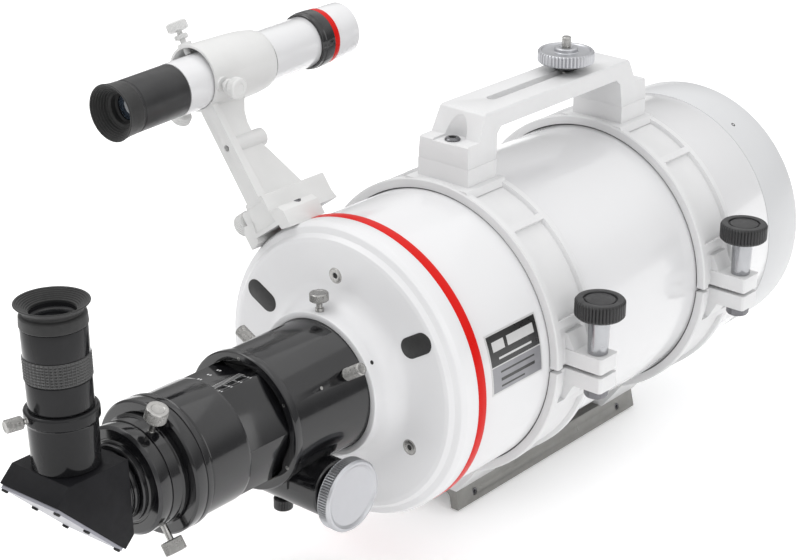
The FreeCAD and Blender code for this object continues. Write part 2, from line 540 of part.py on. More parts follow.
# pinion shaft and focus knobs
gear = []
n = 10
for i in range(n):
    a = 2 * math.pi * i / n
    gear += [((R_PIN - 1.2) * math.cos(a - 0.22), (R_PIN - 1.2) * math.sin(a - 0.22)),
             (R_PIN * math.cos(a - 0.09), R_PIN * math.sin(a - 0.09)),
             (R_PIN * math.cos(a + 0.09), R_PIN * math.sin(a + 0.09)),
             ((R_PIN - 1.2) * math.cos(a + 0.22), (R_PIN - 1.2) * math.sin(a + 0.22))]
pin = prism_x([(yp + p, zp + q) for p, q in gear], -5.0, 5.0)
pin = pin.fuse(cyl_x(2.5, -53.5, 53.5, yp, zp)).removeSplitter()
save("pinion_shaft", pin)
knobs = []
for sx in (1, -1):
    k = prism_x([(yp + p, zp + q) for p, q in star(72, 21.8, 21.2)], sx * 46.0, sx * 55.6)
    env = rev_x([(0, sx * 45.9), (20.8, sx * 45.9), (21.9, sx * 47.0), (21.9, sx * 54.4), (20.9, sx * 55.6),
                 (18.6, sx * 55.6), (17.6, sx * 54.4), (9.0, sx * 53.9), (0, sx * 53.8)], yp, zp)
    k = k.common(env).cut(cyl_x(2.5, min(sx * 45, sx * 53.5), max(sx * 45, sx * 53.5), yp, zp))
    knobs.append(k)
save("focus_knobs", group(knobs))
lock = rev_z(
    [(0, -69.6), (5.2, -69.6), (5.8, -69.0), (5.8, -62.4), (5.2, -61.8), (3.4, -61.8), (3.4, -60.0), (2.5, -60.0),
     (2.5, zp - R_PIN - 3.9), (0, zp - R_PIN - 3.9)], 0, yp)
save("focus_lock_screw", lock)

# ---------------------------------------------------------------- thumbscrews
save("collar_screw", radial(screw_z(2.5, R_BODY + 0.35, 51.6, 5.7, 56.6, neck=(47.2, 1.9)), SCREW_PHI[1], Y_CSCREW))
for nm, a in (("right", SCREW_PHI[0]), ("left", SCREW_PHI[2])):
    save("body_screw_" + nm, radial(screw_z(1.6, 32.1, 41.8, 3.8, 55.6), a, Y_BSCREW))
for nm, (a, yy) in zip(("upper", "lower"), HOLD):
    save("nose_screw_" + nm, radial(screw_z(2.0, 16.3, 40.0, 6.2, 47.4, neck=(31.6, 1.8)), a, yy))

# ---------------------------------------------------------------- diagonal
L_HYP = -235.3
P = [(-243.4, 25.2), (-203.8, 25.2), (-203.8, -19.0), (-210.3, -25.0), (-252.3, 17.0)]
hous = prism_x(P, -22.3, 22.3)
cavity = prism_x([(-248.5, 13.2), (-241.5, 20.5), (-208.5, 20.5), (-208.5, -16.2), (-214.0, -21.3)], -17.5, 17.5)
hous = hous.cut(cavity)
hous = hous.cut(cyl_y(14.2, -212.0, -200.0)).cut(cyl_z(14.2, 15.0, 30.0, 0, Y_EYE))
hous = hous.cut(cyl_y(17.0, -205.3, -200.0)).cut(cyl_z(16.4, 23.4, 30.0, 0, Y_EYE))
q = 1 / math.sqrt(2)
yq, zq = -231.75, -3.55


def hyp(s, t):
    """Point at distance s along the sloping face and t into the housing."""
    return (yq + s * q + t * q, zq - s * q + t * q)


cover = prism_x([hyp(-27.6, 0), hyp(28.9, 0), hyp(28.9, -1.9), hyp(-27.6, -1.9)], -21.6, 21.6)
mir = prism_x([hyp(-20.0, 0), hyp(20.0, 0), hyp(20.0, 4.8), hyp(-20.0, 4.8)], -15.0, 15.0)
save("diagonal_housing", leaned(one(hous)))
save("diagonal_cover", leaned(one(cover)))
save("diagonal_mirror", leaned(mir))
nose = rev_y([(14.2, -205.3), (17.0, -205.3), (17.0, -203.8), (20.0, -203.8), (20.4, -203.4), (20.4, -200.6),
              (19.4, -200.2), (19.4, -198.4), (20.2, -198.0), (20.2, -196.0), (19.6, -195.4), (15.88, -195.4),
              (15.88, -168.6), (15.2, -168.0), (14.2, -168.0)])
save("diagonal_nose", leaned(nose))
holder = rev_z([(14.4, 23.4), (16.4, 23.4), (16.4, 25.2), (17.8, 25.2), (17.9, 25.8), (18.35, 50.6), (18.9, 51.4),
                (19.7, 52.0), (19.7, 57.4), (19.0, 58.3), (15.96, 58.3), (15.96, 33.0), (14.4, 31.0)], 0, Y_EYE)
PSI = math.radians(256.0)
tx, ty = math.cos(PSI), math.sin(PSI)
holder = holder.cut(cyl(2.0 + RUN, (0, Y_EYE, 54.9), (tx, ty, 0), 30.0).common(box(-30, 30, Y_EYE - 30, Y_EYE, 50, 60)))
save("eyepiece_holder", leaned(holder))
ts = screw_z(2.0, 16.35, 22.2, 3.6, 31.6, neck=(20.2, 1.6), c=0.4)
ts.rotate(V(0, 0, 0), V(0, 1, 0), 90)
ts.rotate(V(0, 0, 0), V(0, 0, 1), 256.0)
ts.translate(V(0, Y_EYE, 54.9))
save("holder_screw", leaned(ts))

# ---------------------------------------------------------------- eyepiece
eb = rev_z([(14.0, 33.6), (15.4, 33.6), (15.88, 34.2), (15.88, 58.4), (14.0, 58.4)], 0, Y_EYE)
ebody = rev_z([(14.0, 58.4), (16.6, 58.4), (17.1, 58.9), (17.1, 74.3), (17.5, 74.3), (17.7, 74.7), (17.7, 87.1),
               (17.5, 87.5), (17.15, 87.5), (17.15, 103.1), (15.6, 103.1), (15.6, 109.6), (12.2, 109.6), (12.2, 106.6), (9.6, 106.6), (9.6, 70.0),
               (14.0, 66.0)], 0, Y_EYE)
cup = rev_z([(15.6, 103.1), (17.4, 103.1), (17.6, 103.6), (17.2, 109.0), (16.6, 109.5), (15.4, 109.9), (15.2, 110.9),
             (16.6, 112.4), (19.3, 114.8), (19.5, 115.2), (19.1, 115.5), (17.9, 114.7), (15.4, 112.4), (13.0, 110.8),
             (12.2, 110.6), (12.2, 109.6), (15.6, 109.6)], 0, Y_EYE)
eye_l = rev_z(cap_pts(9.6, 26.0, 104.9, -1, 6) + [(9.6, 100.5), (0, 100.5)], 0, Y_EYE)
fld_l = rev_z([(0, 74.6), (9.6, 74.6)] + [(q_, z_) for q_, z_ in reversed(cap_pts(9.6, 24.0, 72.2, 1, 6))], 0, Y_EYE)
save("eyepiece_body", leaned(one(ebody.fuse(eb).removeSplitter())))
save("eyepiece_eyecup", leaned(cup))
save("eyepiece_lenses", group([leaned(eye_l), leaned(fld_l)]))

# ---------------------------------------------------------------- finder shoe
shoe = prism_y([(-20.0, 86.0), (-20.0, 100.0), (-17.0, 104.0), (-8.0, 104.0), (-8.0, 104.0), (17.0, 104.0),
                (20.0, 100.0), (20.0, 86.0)], -18.0, 12.0)
lug = prism_y([(-19.0, 100.0), (-19.0, 111.0), (-17.8, 112.2), (-11.2, 112.2), (-10.0, 111.0), (-10.0, 100.0)],
              -13.5, 2.5)
shoe = shoe.fuse(lug)
shoe = shoe.cut(prism_y([(-10.2 - RUN, 97.2), (10.2 + RUN, 97.2), (8.6 + RUN, 103.2), (8.6 + RUN, 116.0),
                         (-8.6 - RUN, 116.0), (-8.6 - RUN, 103.2)], -19.0, 13.0))
shoe = shoe.cut(cyl_y(R_CELL, -19.0, 0.0)).cut(cyl_y(R_STRIPE, 0.0, W_STRIPE)).cut(cyl_y(R_TUBE + 2.0, W_STRIPE, 14.0))
shoe = shoe.cut(prism_y([(-13.0, 80.0), (-11.5, 94.6), (11.5, 94.6), (13.0, 80.0)], -19.0, 13.0))
shoe = shoe.cut(cyl_x(2.2 + RUN, -22.0, -8.0, -5.5, 107.0))
sh_scr = []
for sx in (-1, 1):
    y_s = -1.0 if sx > 0 else 6.5
    s = rev_z([(0, 84.6), (1.9, 84.6), (1.9, 101.4), (3.9, 101.4), (3.9, 103.4), (3.3, 104.0), (0, 104.0)], sx * 14.6,
              y_s)
    shoe = shoe.cut(s).cut(cyl_z(3.9, 101.4, 106.0, sx * 14.6, y_s))
    sh_scr.append(s.cut(box(sx * 14.6 - 5, sx * 14.6 + 5, y_s - 0.5, y_s + 0.5, 102.9, 105)))
shoe = one(shoe.removeSplitter())
save("finder_shoe", finder(shoe))
save("fixing_screws", group(cell_screws + fs + bolts + sides + [finder(s) for s in sh_scr]))
# the shoe is screwed to the cell through the tube and the stripe
for sx in (-1, 1):
    y_s = -1.0 if sx > 0 else 6.5
    h = finder(cyl_z(1.9, 80.0, 100.0, sx * 14.6, y_s))
    for nm in ("rear_cell", "main_tube", "stripe_ring"):
        save(nm, PARTS[nm].cut(h))
sl = rev_z([(0, 9.0), (1.8, 9.0), (2.2, 9.4), (2.2, 21.0), (3.2, 21.0), (3.2, 23.0), (6.4, 23.0), (7.2, 23.8),
            (7.2, 31.4), (6.2, 32.4), (0, 32.4)])
sl.rotate(V(0, 0, 0), V(0, 1, 0), -90)
sl.translate(V(0, -5.5, 107.0))
save("shoe_lock_screw", finder(sl))

# ---------------------------------------------------------------- finder bracket
foot = prism_y([(-10.2, 97.3), (10.2, 97.3), (8.6, 103.2), (8.6, 114.2), (7.8, 115.0), (-7.8, 115.0), (-8.6, 114.2),
                (-8.6, 103.2)], -17.5, 36.4)
stem = prism_x([(-17.9, 112.0), (-17.9, 181.0), (-13.2, 181.0), (-12.2, 140.0), (-11.4, 112.0)], -6.0, 6.0)
webp = prism_x([(-14.0, 112.0), (-14.0, 181.0), (16.0, 181.0), (12.5, 177.0), (9.6, 173.0), (6.0, 167.0), (4.0, 160.0),
                (4.0, 154.0), (5.6, 147.0), (10.0, 140.0), (22.6, 115.0), (23.0, 112.0)], -3.2, 3.2)
boss = cyl_y(5.6, -17.9, 11.5, 0, 149.6)
yr = -17.3
br = rev_y([(18.75, yr), (20.2, yr), (20.2, 18.0), (19.7, 28.0), (18.6, 35.0), (17.9, 36.8), (17.4, 37.0),
            (17.4, 34.6), (17.75, 34.0), (18.75, 26.0)], z=Z_F)
brk = br.fuse([foot, stem, webp, boss])
brk = brk.cut(cyl_y(18.75, yr - 2, 26.0, 0, Z_F))
brk = brk.cut(rev_y([(0, 25.9), (18.75, 25.9), (17.75, 34.0), (17.4, 34.6), (17.4, 40.0), (0, 40.0)], z=Z_F))
brk = brk.cut(cyl_y(2.1, -20, 14, 0, 149.6))
Y_ADJ = -13.0
adj_world = (120.0, 0.0, 240.0)
tips = (14.55, 17.75, 17.35)
brk_w = finder(one(brk.removeSplitter()))
cx, cz = Z_F * math.cos(math.radians(PHI_F)), Z_F * math.sin(math.radians(PHI_F))
for a in adj_world:
    bs = radial(cyl_z(4.4, 19.2, 21.6), a, Y_ADJ)
    bs.translate(V(cx, 0, cz))
    hole = radial(cyl_z(1.9 + RUN, 12.0, 30.0), a, Y_ADJ)
    hole.translate(V(cx, 0, cz))
    brk_w = brk_w.fuse(bs).cut(hole)
save("finder_bracket", one(brk_w.removeSplitter()))
for nm, a, t in zip(("top", "right", "lower"), adj_world, tips):
    s = rev_z([(0, t), (1.5, t), (1.9, t + 0.4), (1.9, 24.4), (3.7, 24.4), (4.2, 24.9), (4.2, 26.7), (3.7, 27.2), (1.9, 27.2),
               (1.9, 29.6), (5.9, 29.6), (6.5, 30.2), (6.5, 34.6),
               (5.9, 35.2), (0, 35.2)])
    s = radial(s, a, Y_ADJ)
    s.translate(V(cx, 0, cz))
    save("finder_screw_" + nm, s)


# ---------------------------------------------------------------- finder tube
oring = rev_y([(16.2, 34.9), (17.0, 34.9), (17.2, 35.4), (17.2, 37.3), (16.9, 38.0), (16.2, 38.0)], z=Z_F)
ftube = rev_y([(15.0, -36.0), (16.2, -36.0), (16.2, 84.0), (15.0, 84.0)], z=Z_F)
fbar = rev_y([(13.4, -27.0), (15.0, -27.0), (15.0, -36.0), (15.5, -36.0), (16.0, -36.5), (16.0, -72.4), (15.4, -73.0),
              (15.4, -73.8), (12.4, -73.8), (12.4, -72.0), (8.2, -72.0), (8.2, -66.0), (13.4, -62.0)], z=Z_F)
fcup = rev_y([(12.4, -73.8), (15.9, -73.8), (16.1, -74.4), (16.3, -79.0), (17.3, -85.6), (17.1, -86.0), (16.6, -86.0),
              (14.6, -80.0), (14.0, -79.6), (13.6, -77.6), (11.6, -77.2), (11.2, -75.4), (9.4, -75.0), (9.4, -73.0),
              (8.4, -72.0), (12.4, -72.0)], z=Z_F)
flens = rev_y([(0, -73.6), (2.5, -73.5), (5.0, -73.0), (7.0, -72.2), (8.2, -71.4), (8.2, -68.5), (0, -68.5)], z=Z_F)
lring = rev_y([(16.2, 79.2), (17.5, 79.2), (17.9, 79.8), (17.9, 82.6), (18.35, 83.2), (18.35, 90.4), (17.9, 90.9),
               (15.4, 90.9), (15.4, 84.0), (16.2, 84.0)], z=Z_F)
rring = rev_y([(15.4, 90.9), (17.9, 90.9), (17.9, 95.3), (15.4, 95.3)], z=Z_F)
hood = rev_y([(15.4, 95.3), (17.2, 95.3), (17.2, 114.6), (16.6, 115.3), (15.9, 115.3), (15.6, 114.6), (15.6, 101.0),
              (14.6, 101.0), (14.6, 99.0), (15.4, 99.0)], z=Z_F)
fobj = rev_y([(0, 92.0), (4.0, 92.1), (8.0, 92.6), (12.0, 93.4), (15.4, 94.4), (15.4, 98.4), (12.0, 99.2),
              (8.0, 99.9), (4.0, 100.3), (0, 100.4)], z=Z_F)
hood = hood.cut(fobj)
rring = rring.cut(fobj)
for nm, s in (("finder_oring", oring), ("finder_tube", ftube), ("finder_eyepiece_barrel", fbar.fuse(fcup)),
              ("finder_lock_ring", lring.fuse(rring)), ("finder_hood", hood)):
    save(nm, tilted(one(s.removeSplitter())))
save("finder_lenses", group([tilted(flens), tilted(fobj)]))

for name, s in PARTS.items():
    s = s.copy()
    s.translate(ORIGIN)
    one(s).exportStep("parts/%s.step" % name)
print("parts:", len(PARTS))
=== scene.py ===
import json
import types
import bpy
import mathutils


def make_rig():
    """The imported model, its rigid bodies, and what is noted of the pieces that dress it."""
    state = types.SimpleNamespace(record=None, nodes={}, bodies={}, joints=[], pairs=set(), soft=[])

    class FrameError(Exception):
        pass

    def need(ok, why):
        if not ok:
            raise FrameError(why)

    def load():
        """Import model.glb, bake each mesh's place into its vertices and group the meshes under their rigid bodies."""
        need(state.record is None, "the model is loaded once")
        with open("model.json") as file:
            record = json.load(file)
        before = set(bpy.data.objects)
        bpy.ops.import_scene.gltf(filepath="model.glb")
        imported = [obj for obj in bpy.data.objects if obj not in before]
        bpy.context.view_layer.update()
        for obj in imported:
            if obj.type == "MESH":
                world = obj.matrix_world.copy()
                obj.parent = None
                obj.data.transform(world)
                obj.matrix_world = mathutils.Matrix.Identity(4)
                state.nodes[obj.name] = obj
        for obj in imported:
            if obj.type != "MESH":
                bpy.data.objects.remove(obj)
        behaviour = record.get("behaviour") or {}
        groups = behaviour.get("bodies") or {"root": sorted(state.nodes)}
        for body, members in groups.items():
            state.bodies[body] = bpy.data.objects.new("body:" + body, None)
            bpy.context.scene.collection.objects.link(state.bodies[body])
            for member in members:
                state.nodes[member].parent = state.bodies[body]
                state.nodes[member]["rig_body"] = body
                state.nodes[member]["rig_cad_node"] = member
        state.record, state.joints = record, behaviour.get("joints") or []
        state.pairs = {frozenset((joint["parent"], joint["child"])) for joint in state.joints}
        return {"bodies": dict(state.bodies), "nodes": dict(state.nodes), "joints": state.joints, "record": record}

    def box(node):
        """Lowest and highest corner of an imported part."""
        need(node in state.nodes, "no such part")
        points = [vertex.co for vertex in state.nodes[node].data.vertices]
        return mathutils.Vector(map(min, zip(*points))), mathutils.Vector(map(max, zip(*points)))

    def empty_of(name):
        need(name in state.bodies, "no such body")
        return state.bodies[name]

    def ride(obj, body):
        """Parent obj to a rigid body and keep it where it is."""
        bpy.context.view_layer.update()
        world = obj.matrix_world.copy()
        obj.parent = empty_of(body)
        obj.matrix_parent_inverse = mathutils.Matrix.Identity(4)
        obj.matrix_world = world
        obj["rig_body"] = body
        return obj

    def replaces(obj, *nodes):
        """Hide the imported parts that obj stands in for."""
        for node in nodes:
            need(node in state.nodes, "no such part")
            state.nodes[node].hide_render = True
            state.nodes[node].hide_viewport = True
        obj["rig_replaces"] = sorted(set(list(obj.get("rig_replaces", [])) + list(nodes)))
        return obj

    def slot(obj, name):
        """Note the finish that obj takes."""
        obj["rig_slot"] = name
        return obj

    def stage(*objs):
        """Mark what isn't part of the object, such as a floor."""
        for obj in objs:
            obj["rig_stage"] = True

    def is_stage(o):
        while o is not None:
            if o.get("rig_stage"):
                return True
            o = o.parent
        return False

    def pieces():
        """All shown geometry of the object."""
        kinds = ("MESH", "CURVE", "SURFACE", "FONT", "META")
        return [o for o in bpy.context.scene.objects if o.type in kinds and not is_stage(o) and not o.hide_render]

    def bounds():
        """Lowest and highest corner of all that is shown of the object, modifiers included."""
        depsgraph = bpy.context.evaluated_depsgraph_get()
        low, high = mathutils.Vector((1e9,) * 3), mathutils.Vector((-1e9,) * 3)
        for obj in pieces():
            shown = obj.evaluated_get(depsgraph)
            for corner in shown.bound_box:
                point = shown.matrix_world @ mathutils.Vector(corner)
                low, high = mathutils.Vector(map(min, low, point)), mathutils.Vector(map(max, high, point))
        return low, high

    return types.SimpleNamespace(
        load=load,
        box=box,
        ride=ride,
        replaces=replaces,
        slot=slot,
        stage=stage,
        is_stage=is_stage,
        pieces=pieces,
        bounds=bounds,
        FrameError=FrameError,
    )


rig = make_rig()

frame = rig.load()
import bpy
import bmesh
import json
import math
from mathutils import Vector, Matrix

BOX_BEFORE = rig.bounds()
NODES = frame["nodes"]

# ------------------------------------------------------------------ frame of the pieces
# Pieces are drawn in millimetres about the optical axis: X right, Y towards the sky from the
# rear edge of the coloured stripe, Z up.  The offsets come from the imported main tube.
_lo, _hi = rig.box("main_tube")
Y_OFF = _lo.y
Z_OFF = (_lo.z + _hi.z) / 2
X_OFF = (_lo.x + _hi.x) / 2
TO_ROW = Matrix.Translation((X_OFF, Y_OFF, Z_OFF)) @ Matrix.Diagonal((0.001, 0.001, 0.001, 1.0))
I4 = Matrix.Identity(4)


def T(x, y, z):
    return Matrix.Translation((x, y, z))


def RX(a):
    return Matrix.Rotation(math.radians(a), 4, "X")


def RY(a):
    return Matrix.Rotation(math.radians(a), 4, "Y")


def RZ(a):
    return Matrix.Rotation(math.radians(a), 4, "Z")


def radial(phi, y=0.0, cx=0.0, cz=0.0):
    """Local +Z becomes the outward direction phi in the XZ plane."""
    return T(cx, y, cz) @ RY(90.0 - phi)


PHI_F = 126.0
Z_F = 195.74
Y_PIV = 37.3
FINDER = RY(90.0 - PHI_F)
TUBE_F = FINDER @ T(0, Y_PIV, Z_F) @ RX(math.degrees(0.040)) @ T(0, -Y_PIV, 0)
FCX, FCZ = Z_F * math.cos(math.radians(PHI_F)), Z_F * math.sin(math.radians(PHI_F))
LEAN = RY(-1.6)
Y_EYE = -225.8


# ------------------------------------------------------------------ materials
def ramp(nt, fac, stops):
    n = nt.nodes.new("ShaderNodeValToRGB")
    el = n.color_ramp.elements
    while len(el) < len(stops):
        el.new(0.5)
    for e, (p, c) in zip(el, stops):
        e.position = p
        e.color = (c[0], c[1], c[2], 1.0)
    nt.links.new(fac, n.inputs["Fac"])
    return n.outputs["Color"]


def noise(nt, vec, scale, detail=3.0, rough=0.5):
    n = nt.nodes.new("ShaderNodeTexNoise")
    n.inputs["Scale"].default_value = scale
    n.inputs["Detail"].default_value = detail
    n.inputs["Roughness"].default_value = rough
    nt.links.new(vec, n.inputs["Vector"])
    return n.outputs["Fac"]


def remap(nt, fac, a, b, lo=0.3, hi=0.7):
    n = nt.nodes.new("ShaderNodeMapRange")
    n.inputs["From Min"].default_value = lo
    n.inputs["From Max"].default_value = hi
    n.inputs["To Min"].default_value = a
    n.inputs["To Max"].default_value = b
    nt.links.new(fac, n.inputs["Value"])
    return n.outputs["Result"]


def material(name, base, rough, metallic=0.0, vary=0.04, rvary=0.04, scale=60.0, bump=0.0, bump_scale=1500.0,
             bump_dist=0.00005, coat=0.0, coat_rough=0.06, ior=1.5, spec=0.5, stretch=None, stretch_scale=900.0,
             stretch_bump=0.0, sheen=0.0, trans=0.0, edge=0.0, aniso=0.0):
    m = bpy.data.materials.new(name)
    m.use_nodes = True
    nt = m.node_tree
    bs = nt.nodes["Principled BSDF"]
    tc = nt.nodes.new("ShaderNodeTexCoord")
    obj = tc.outputs["Object"]
    dark = [max(0.0, c * (1 - vary)) for c in base]
    light = [min(1.0, c * (1 + vary)) for c in base]
    n1 = noise(nt, obj, scale, 4.0, 0.55)
    col = ramp(nt, n1, [(0.3, dark), (0.7, light)])
    nt.links.new(col, bs.inputs["Base Color"])
    n2 = noise(nt, obj, scale * 2.3, 5.0, 0.6)
    nt.links.new(remap(nt, n2, max(0.02, rough - rvary), min(1.0, rough + rvary)), bs.inputs["Roughness"])
    bs.inputs["Metallic"].default_value = metallic
    bs.inputs["IOR"].default_value = ior
    bs.inputs["Specular IOR Level"].default_value = spec
    bs.inputs["Coat Weight"].default_value = coat
    bs.inputs["Coat Roughness"].default_value = coat_rough
    bs.inputs["Sheen Weight"].default_value = sheen
    bs.inputs["Transmission Weight"].default_value = trans
    bs.inputs["Anisotropic"].default_value = aniso
    h = None
    if bump:
        nb = noise(nt, obj, bump_scale, 3.0, 0.6)
        b = nt.nodes.new("ShaderNodeBump")
        b.inputs["Strength"].default_value = bump
        b.inputs["Distance"].default_value = bump_dist
        nt.links.new(nb, b.inputs["Height"])
        h = b
    if stretch_bump:
        mp = nt.nodes.new("ShaderNodeMapping")
        mp.inputs["Scale"].default_value = stretch
        nt.links.new(obj, mp.inputs["Vector"])
        ns = noise(nt, mp.outputs["Vector"], stretch_scale, 2.0, 0.5)
        b = nt.nodes.new("ShaderNodeBump")
        b.inputs["Strength"].default_value = stretch_bump
        b.inputs["Distance"].default_value = 0.00003
        nt.links.new(ns, b.inputs["Height"])
        if h:
            nt.links.new(h.outputs["Normal"], b.inputs["Normal"])
        h = b
    if h:
        nt.links.new(h.outputs["Normal"], bs.inputs["Normal"])
    return m


M = {}
M["enamel"] = material("white_enamel", (0.69, 0.69, 0.70), 0.20, vary=0.012, rvary=0.03, scale=14.0, bump=0.10,
                       bump_scale=420.0, bump_dist=0.00006, coat=0.5, coat_rough=0.05)
M["front"] = material("front_cell_enamel", (0.58, 0.585, 0.595), 0.34, vary=0.012, rvary=0.04, scale=20.0, bump=0.10,
                      bump_scale=900.0, coat=0.15, coat_rough=0.12)
M["cell"] = material("cell_enamel", (0.71, 0.71, 0.72), 0.36, vary=0.014, rvary=0.05, scale=24.0, bump=0.16,
                     bump_scale=1200.0, coat=0.12, coat_rough=0.2)
M["cast"] = material("casting_enamel", (0.67, 0.67, 0.675), 0.42, vary=0.02, rvary=0.06, scale=40.0, bump=0.30,
                     bump_scale=1500.0, bump_dist=0.00008, coat=0.10, coat_rough=0.25)
M["finder_cast"] = material("bracket_enamel", (0.66, 0.66, 0.655), 0.40, vary=0.02, rvary=0.06, scale=60.0, bump=0.28,
                            bump_scale=1800.0, bump_dist=0.00007, coat=0.10, coat_rough=0.25)
M["red"] = material("red_paint", (0.60, 0.006, 0.003), 0.30, vary=0.04, rvary=0.03, scale=30.0, bump=0.05,
                    bump_scale=700.0, coat=0.04, coat_rough=0.1, spec=0.12)
M["black"] = material("black_anodised", (0.007, 0.007, 0.008), 0.13, vary=0.2, rvary=0.05, scale=50.0, bump=0.06,
                      bump_scale=2600.0, bump_dist=0.00002, stretch=(0.15, 12.0, 0.15), stretch_bump=0.10,
                      coat=0.15, coat_rough=0.06, spec=0.58)
M["black_z"] = material("black_anodised_upright", (0.012, 0.012, 0.013), 0.12, vary=0.2, rvary=0.04, scale=50.0,
                        bump=0.05, bump_scale=2600.0, bump_dist=0.00002, stretch=(0.15, 0.15, 12.0),
                        stretch_bump=0.08, coat=0.05, coat_rough=0.05, spec=0.22)
M["satin"] = material("black_satin", (0.016, 0.016, 0.017), 0.36, vary=0.2, rvary=0.05, scale=80.0, bump=0.12,
                      bump_scale=3000.0, bump_dist=0.00002)
M["edge"] = material("machined_edge", (0.34, 0.34, 0.35), 0.25, metallic=1.0, vary=0.08, rvary=0.06, scale=300.0,
                     bump=0.05, bump_scale=5000.0)
M["edge_dark"] = material("polished_black_edge", (0.05, 0.05, 0.052), 0.22, metallic=0.6, vary=0.08, rvary=0.06,
                          scale=300.0, bump=0.05, bump_scale=5000.0)
M["grip"] = material("grip_rubber", (0.012, 0.012, 0.012), 0.33, vary=0.2, rvary=0.06, scale=150.0, bump=0.12,
                     bump_scale=2800.0, bump_dist=0.00003, coat=0.25, coat_rough=0.2, spec=0.8)
M["dark"] = material("dark_grey_case", (0.008, 0.008, 0.0095), 0.50, spec=0.14, vary=0.15, rvary=0.06, scale=120.0, bump=0.35,
                     bump_scale=3800.0, bump_dist=0.00004)
# lighter grey for the diagonal case's edges: a painted highlight along its rounded edges
M["dark_line"] = material("painted_edge_highlight", (0.20, 0.20, 0.215), 0.35, vary=0.2, rvary=0.08, scale=300.0, bump=0.1,
                          bump_scale=4000.0)
M["plate"] = material("cover_plate_grey", (0.26, 0.26, 0.29), 0.33, metallic=0.7, vary=0.06, rvary=0.05, scale=90.0,
                      bump=0.12, bump_scale=2500.0)
M["steel"] = material("turned_steel", (0.37, 0.365, 0.355), 0.30, metallic=1.0, vary=0.08, rvary=0.08, scale=250.0,
                      bump=0.08, bump_scale=5200.0, bump_dist=0.00002)
M["dark_steel"] = material("blackened_steel", (0.16, 0.16, 0.17), 0.30, metallic=0.9, vary=0.12, rvary=0.08, scale=250.0,
                           bump=0.08, bump_scale=5200.0, bump_dist=0.00002)
M["alu"] = material("brushed_aluminium", (0.60, 0.605, 0.61), 0.30, metallic=1.0, vary=0.05, rvary=0.06, scale=120.0,
                    bump=0.05, bump_scale=3000.0, stretch=(6.0, 0.12, 6.0), stretch_bump=0.14)
M["silver"] = material("silver_knob", (0.50, 0.505, 0.525), 0.40, metallic=1.0, vary=0.012, rvary=0.02, scale=150.0,
                       bump=0.008, bump_scale=4200.0, bump_dist=0.00002)
M["chrome"] = material("chrome", (0.72, 0.73, 0.74), 0.09, metallic=1.0, vary=0.02, rvary=0.03, scale=150.0,
                       bump=0.03, bump_scale=3000.0, bump_dist=0.00002)
M["bar"] = material("bar_aluminium", (0.26, 0.257, 0.245), 0.34, metallic=1.0, vary=0.06, rvary=0.07, scale=90.0,
                    bump=0.10, bump_scale=2600.0, stretch=(8.0, 0.10, 8.0), stretch_bump=0.22)
M["rubber"] = material("rubber", (0.014, 0.014, 0.014), 0.55, vary=0.2, rvary=0.08, scale=150.0, bump=0.25,
                       bump_scale=2800.0, bump_dist=0.00004, sheen=0.15, spec=0.4)
M["plastic"] = material("black_plastic", (0.014, 0.014, 0.015), 0.40, vary=0.2, rvary=0.06, scale=120.0, bump=0.22,
                        bump_scale=3000.0, bump_dist=0.00004)
M["gloss_plastic"] = material("black_gloss_plastic", (0.013, 0.013, 0.014), 0.22, vary=0.2, rvary=0.05, scale=120.0,
                              bump=0.10, bump_scale=2500.0, bump_dist=0.00003, coat=0.3, coat_rough=0.1)
M["felt"] = material("felt_liner", (0.10, 0.10, 0.10), 0.9, vary=0.3, rvary=0.05, scale=500.0, bump=0.6,
                     bump_scale=3500.0, bump_dist=0.0001, sheen=0.4)
M["flat_black"] = material("flat_black", (0.010, 0.010, 0.010), 0.7, vary=0.2, rvary=0.08, scale=120.0, bump=0.2,
                           bump_scale=2500.0)
M["brass"] = material("brass", (0.60, 0.44, 0.20), 0.32, metallic=1.0, vary=0.06, rvary=0.06, scale=160.0, bump=0.08,
                      bump_scale=3000.0)
M["sleeve"] = material("turned_sleeve", (0.40, 0.405, 0.42), 0.24, metallic=1.0, vary=0.04, rvary=0.04, scale=150.0,
                       bump=0.03, bump_scale=3000.0, bump_dist=0.00002)
M["mirror"] = material("mirror_coating", (0.88, 0.88, 0.90), 0.03, metallic=1.0, vary=0.01, rvary=0.01, scale=20.0,
                       bump=0.01, bump_scale=600.0)
M["glass"] = material("coated_glass", (0.80, 0.92, 0.88), 0.03, vary=0.01, rvary=0.01, scale=20.0, bump=0.01,
                      bump_scale=600.0, trans=1.0, ior=1.52)
M["lens"] = material("eye_lens_coating", (0.02, 0.03, 0.045), 0.05, vary=0.3, rvary=0.02, scale=60.0, bump=0.02,
                     bump_scale=900.0, coat=1.0, coat_rough=0.02, spec=0.8)
M["label_black"] = material("label_black", (0.012, 0.012, 0.012), 0.30, vary=0.2, rvary=0.05, scale=120.0, bump=0.05,
                            bump_scale=2500.0, coat=0.3)
M["label_grey"] = material("label_grey", (0.27, 0.27, 0.285), 0.34, metallic=0.6, vary=0.05, rvary=0.05, scale=120.0,
                           bump=0.05, bump_scale=2500.0)
M["label_light"] = material("label_border", (0.56, 0.56, 0.56), 0.35, metallic=0.2, vary=0.04, rvary=0.05,
                            scale=120.0, bump=0.05, bump_scale=2500.0)
M["ink"] = material("white_filling", (0.62, 0.62, 0.62), 0.55, vary=0.08, rvary=0.06, scale=400.0, bump=0.1,
                    bump_scale=4000.0)


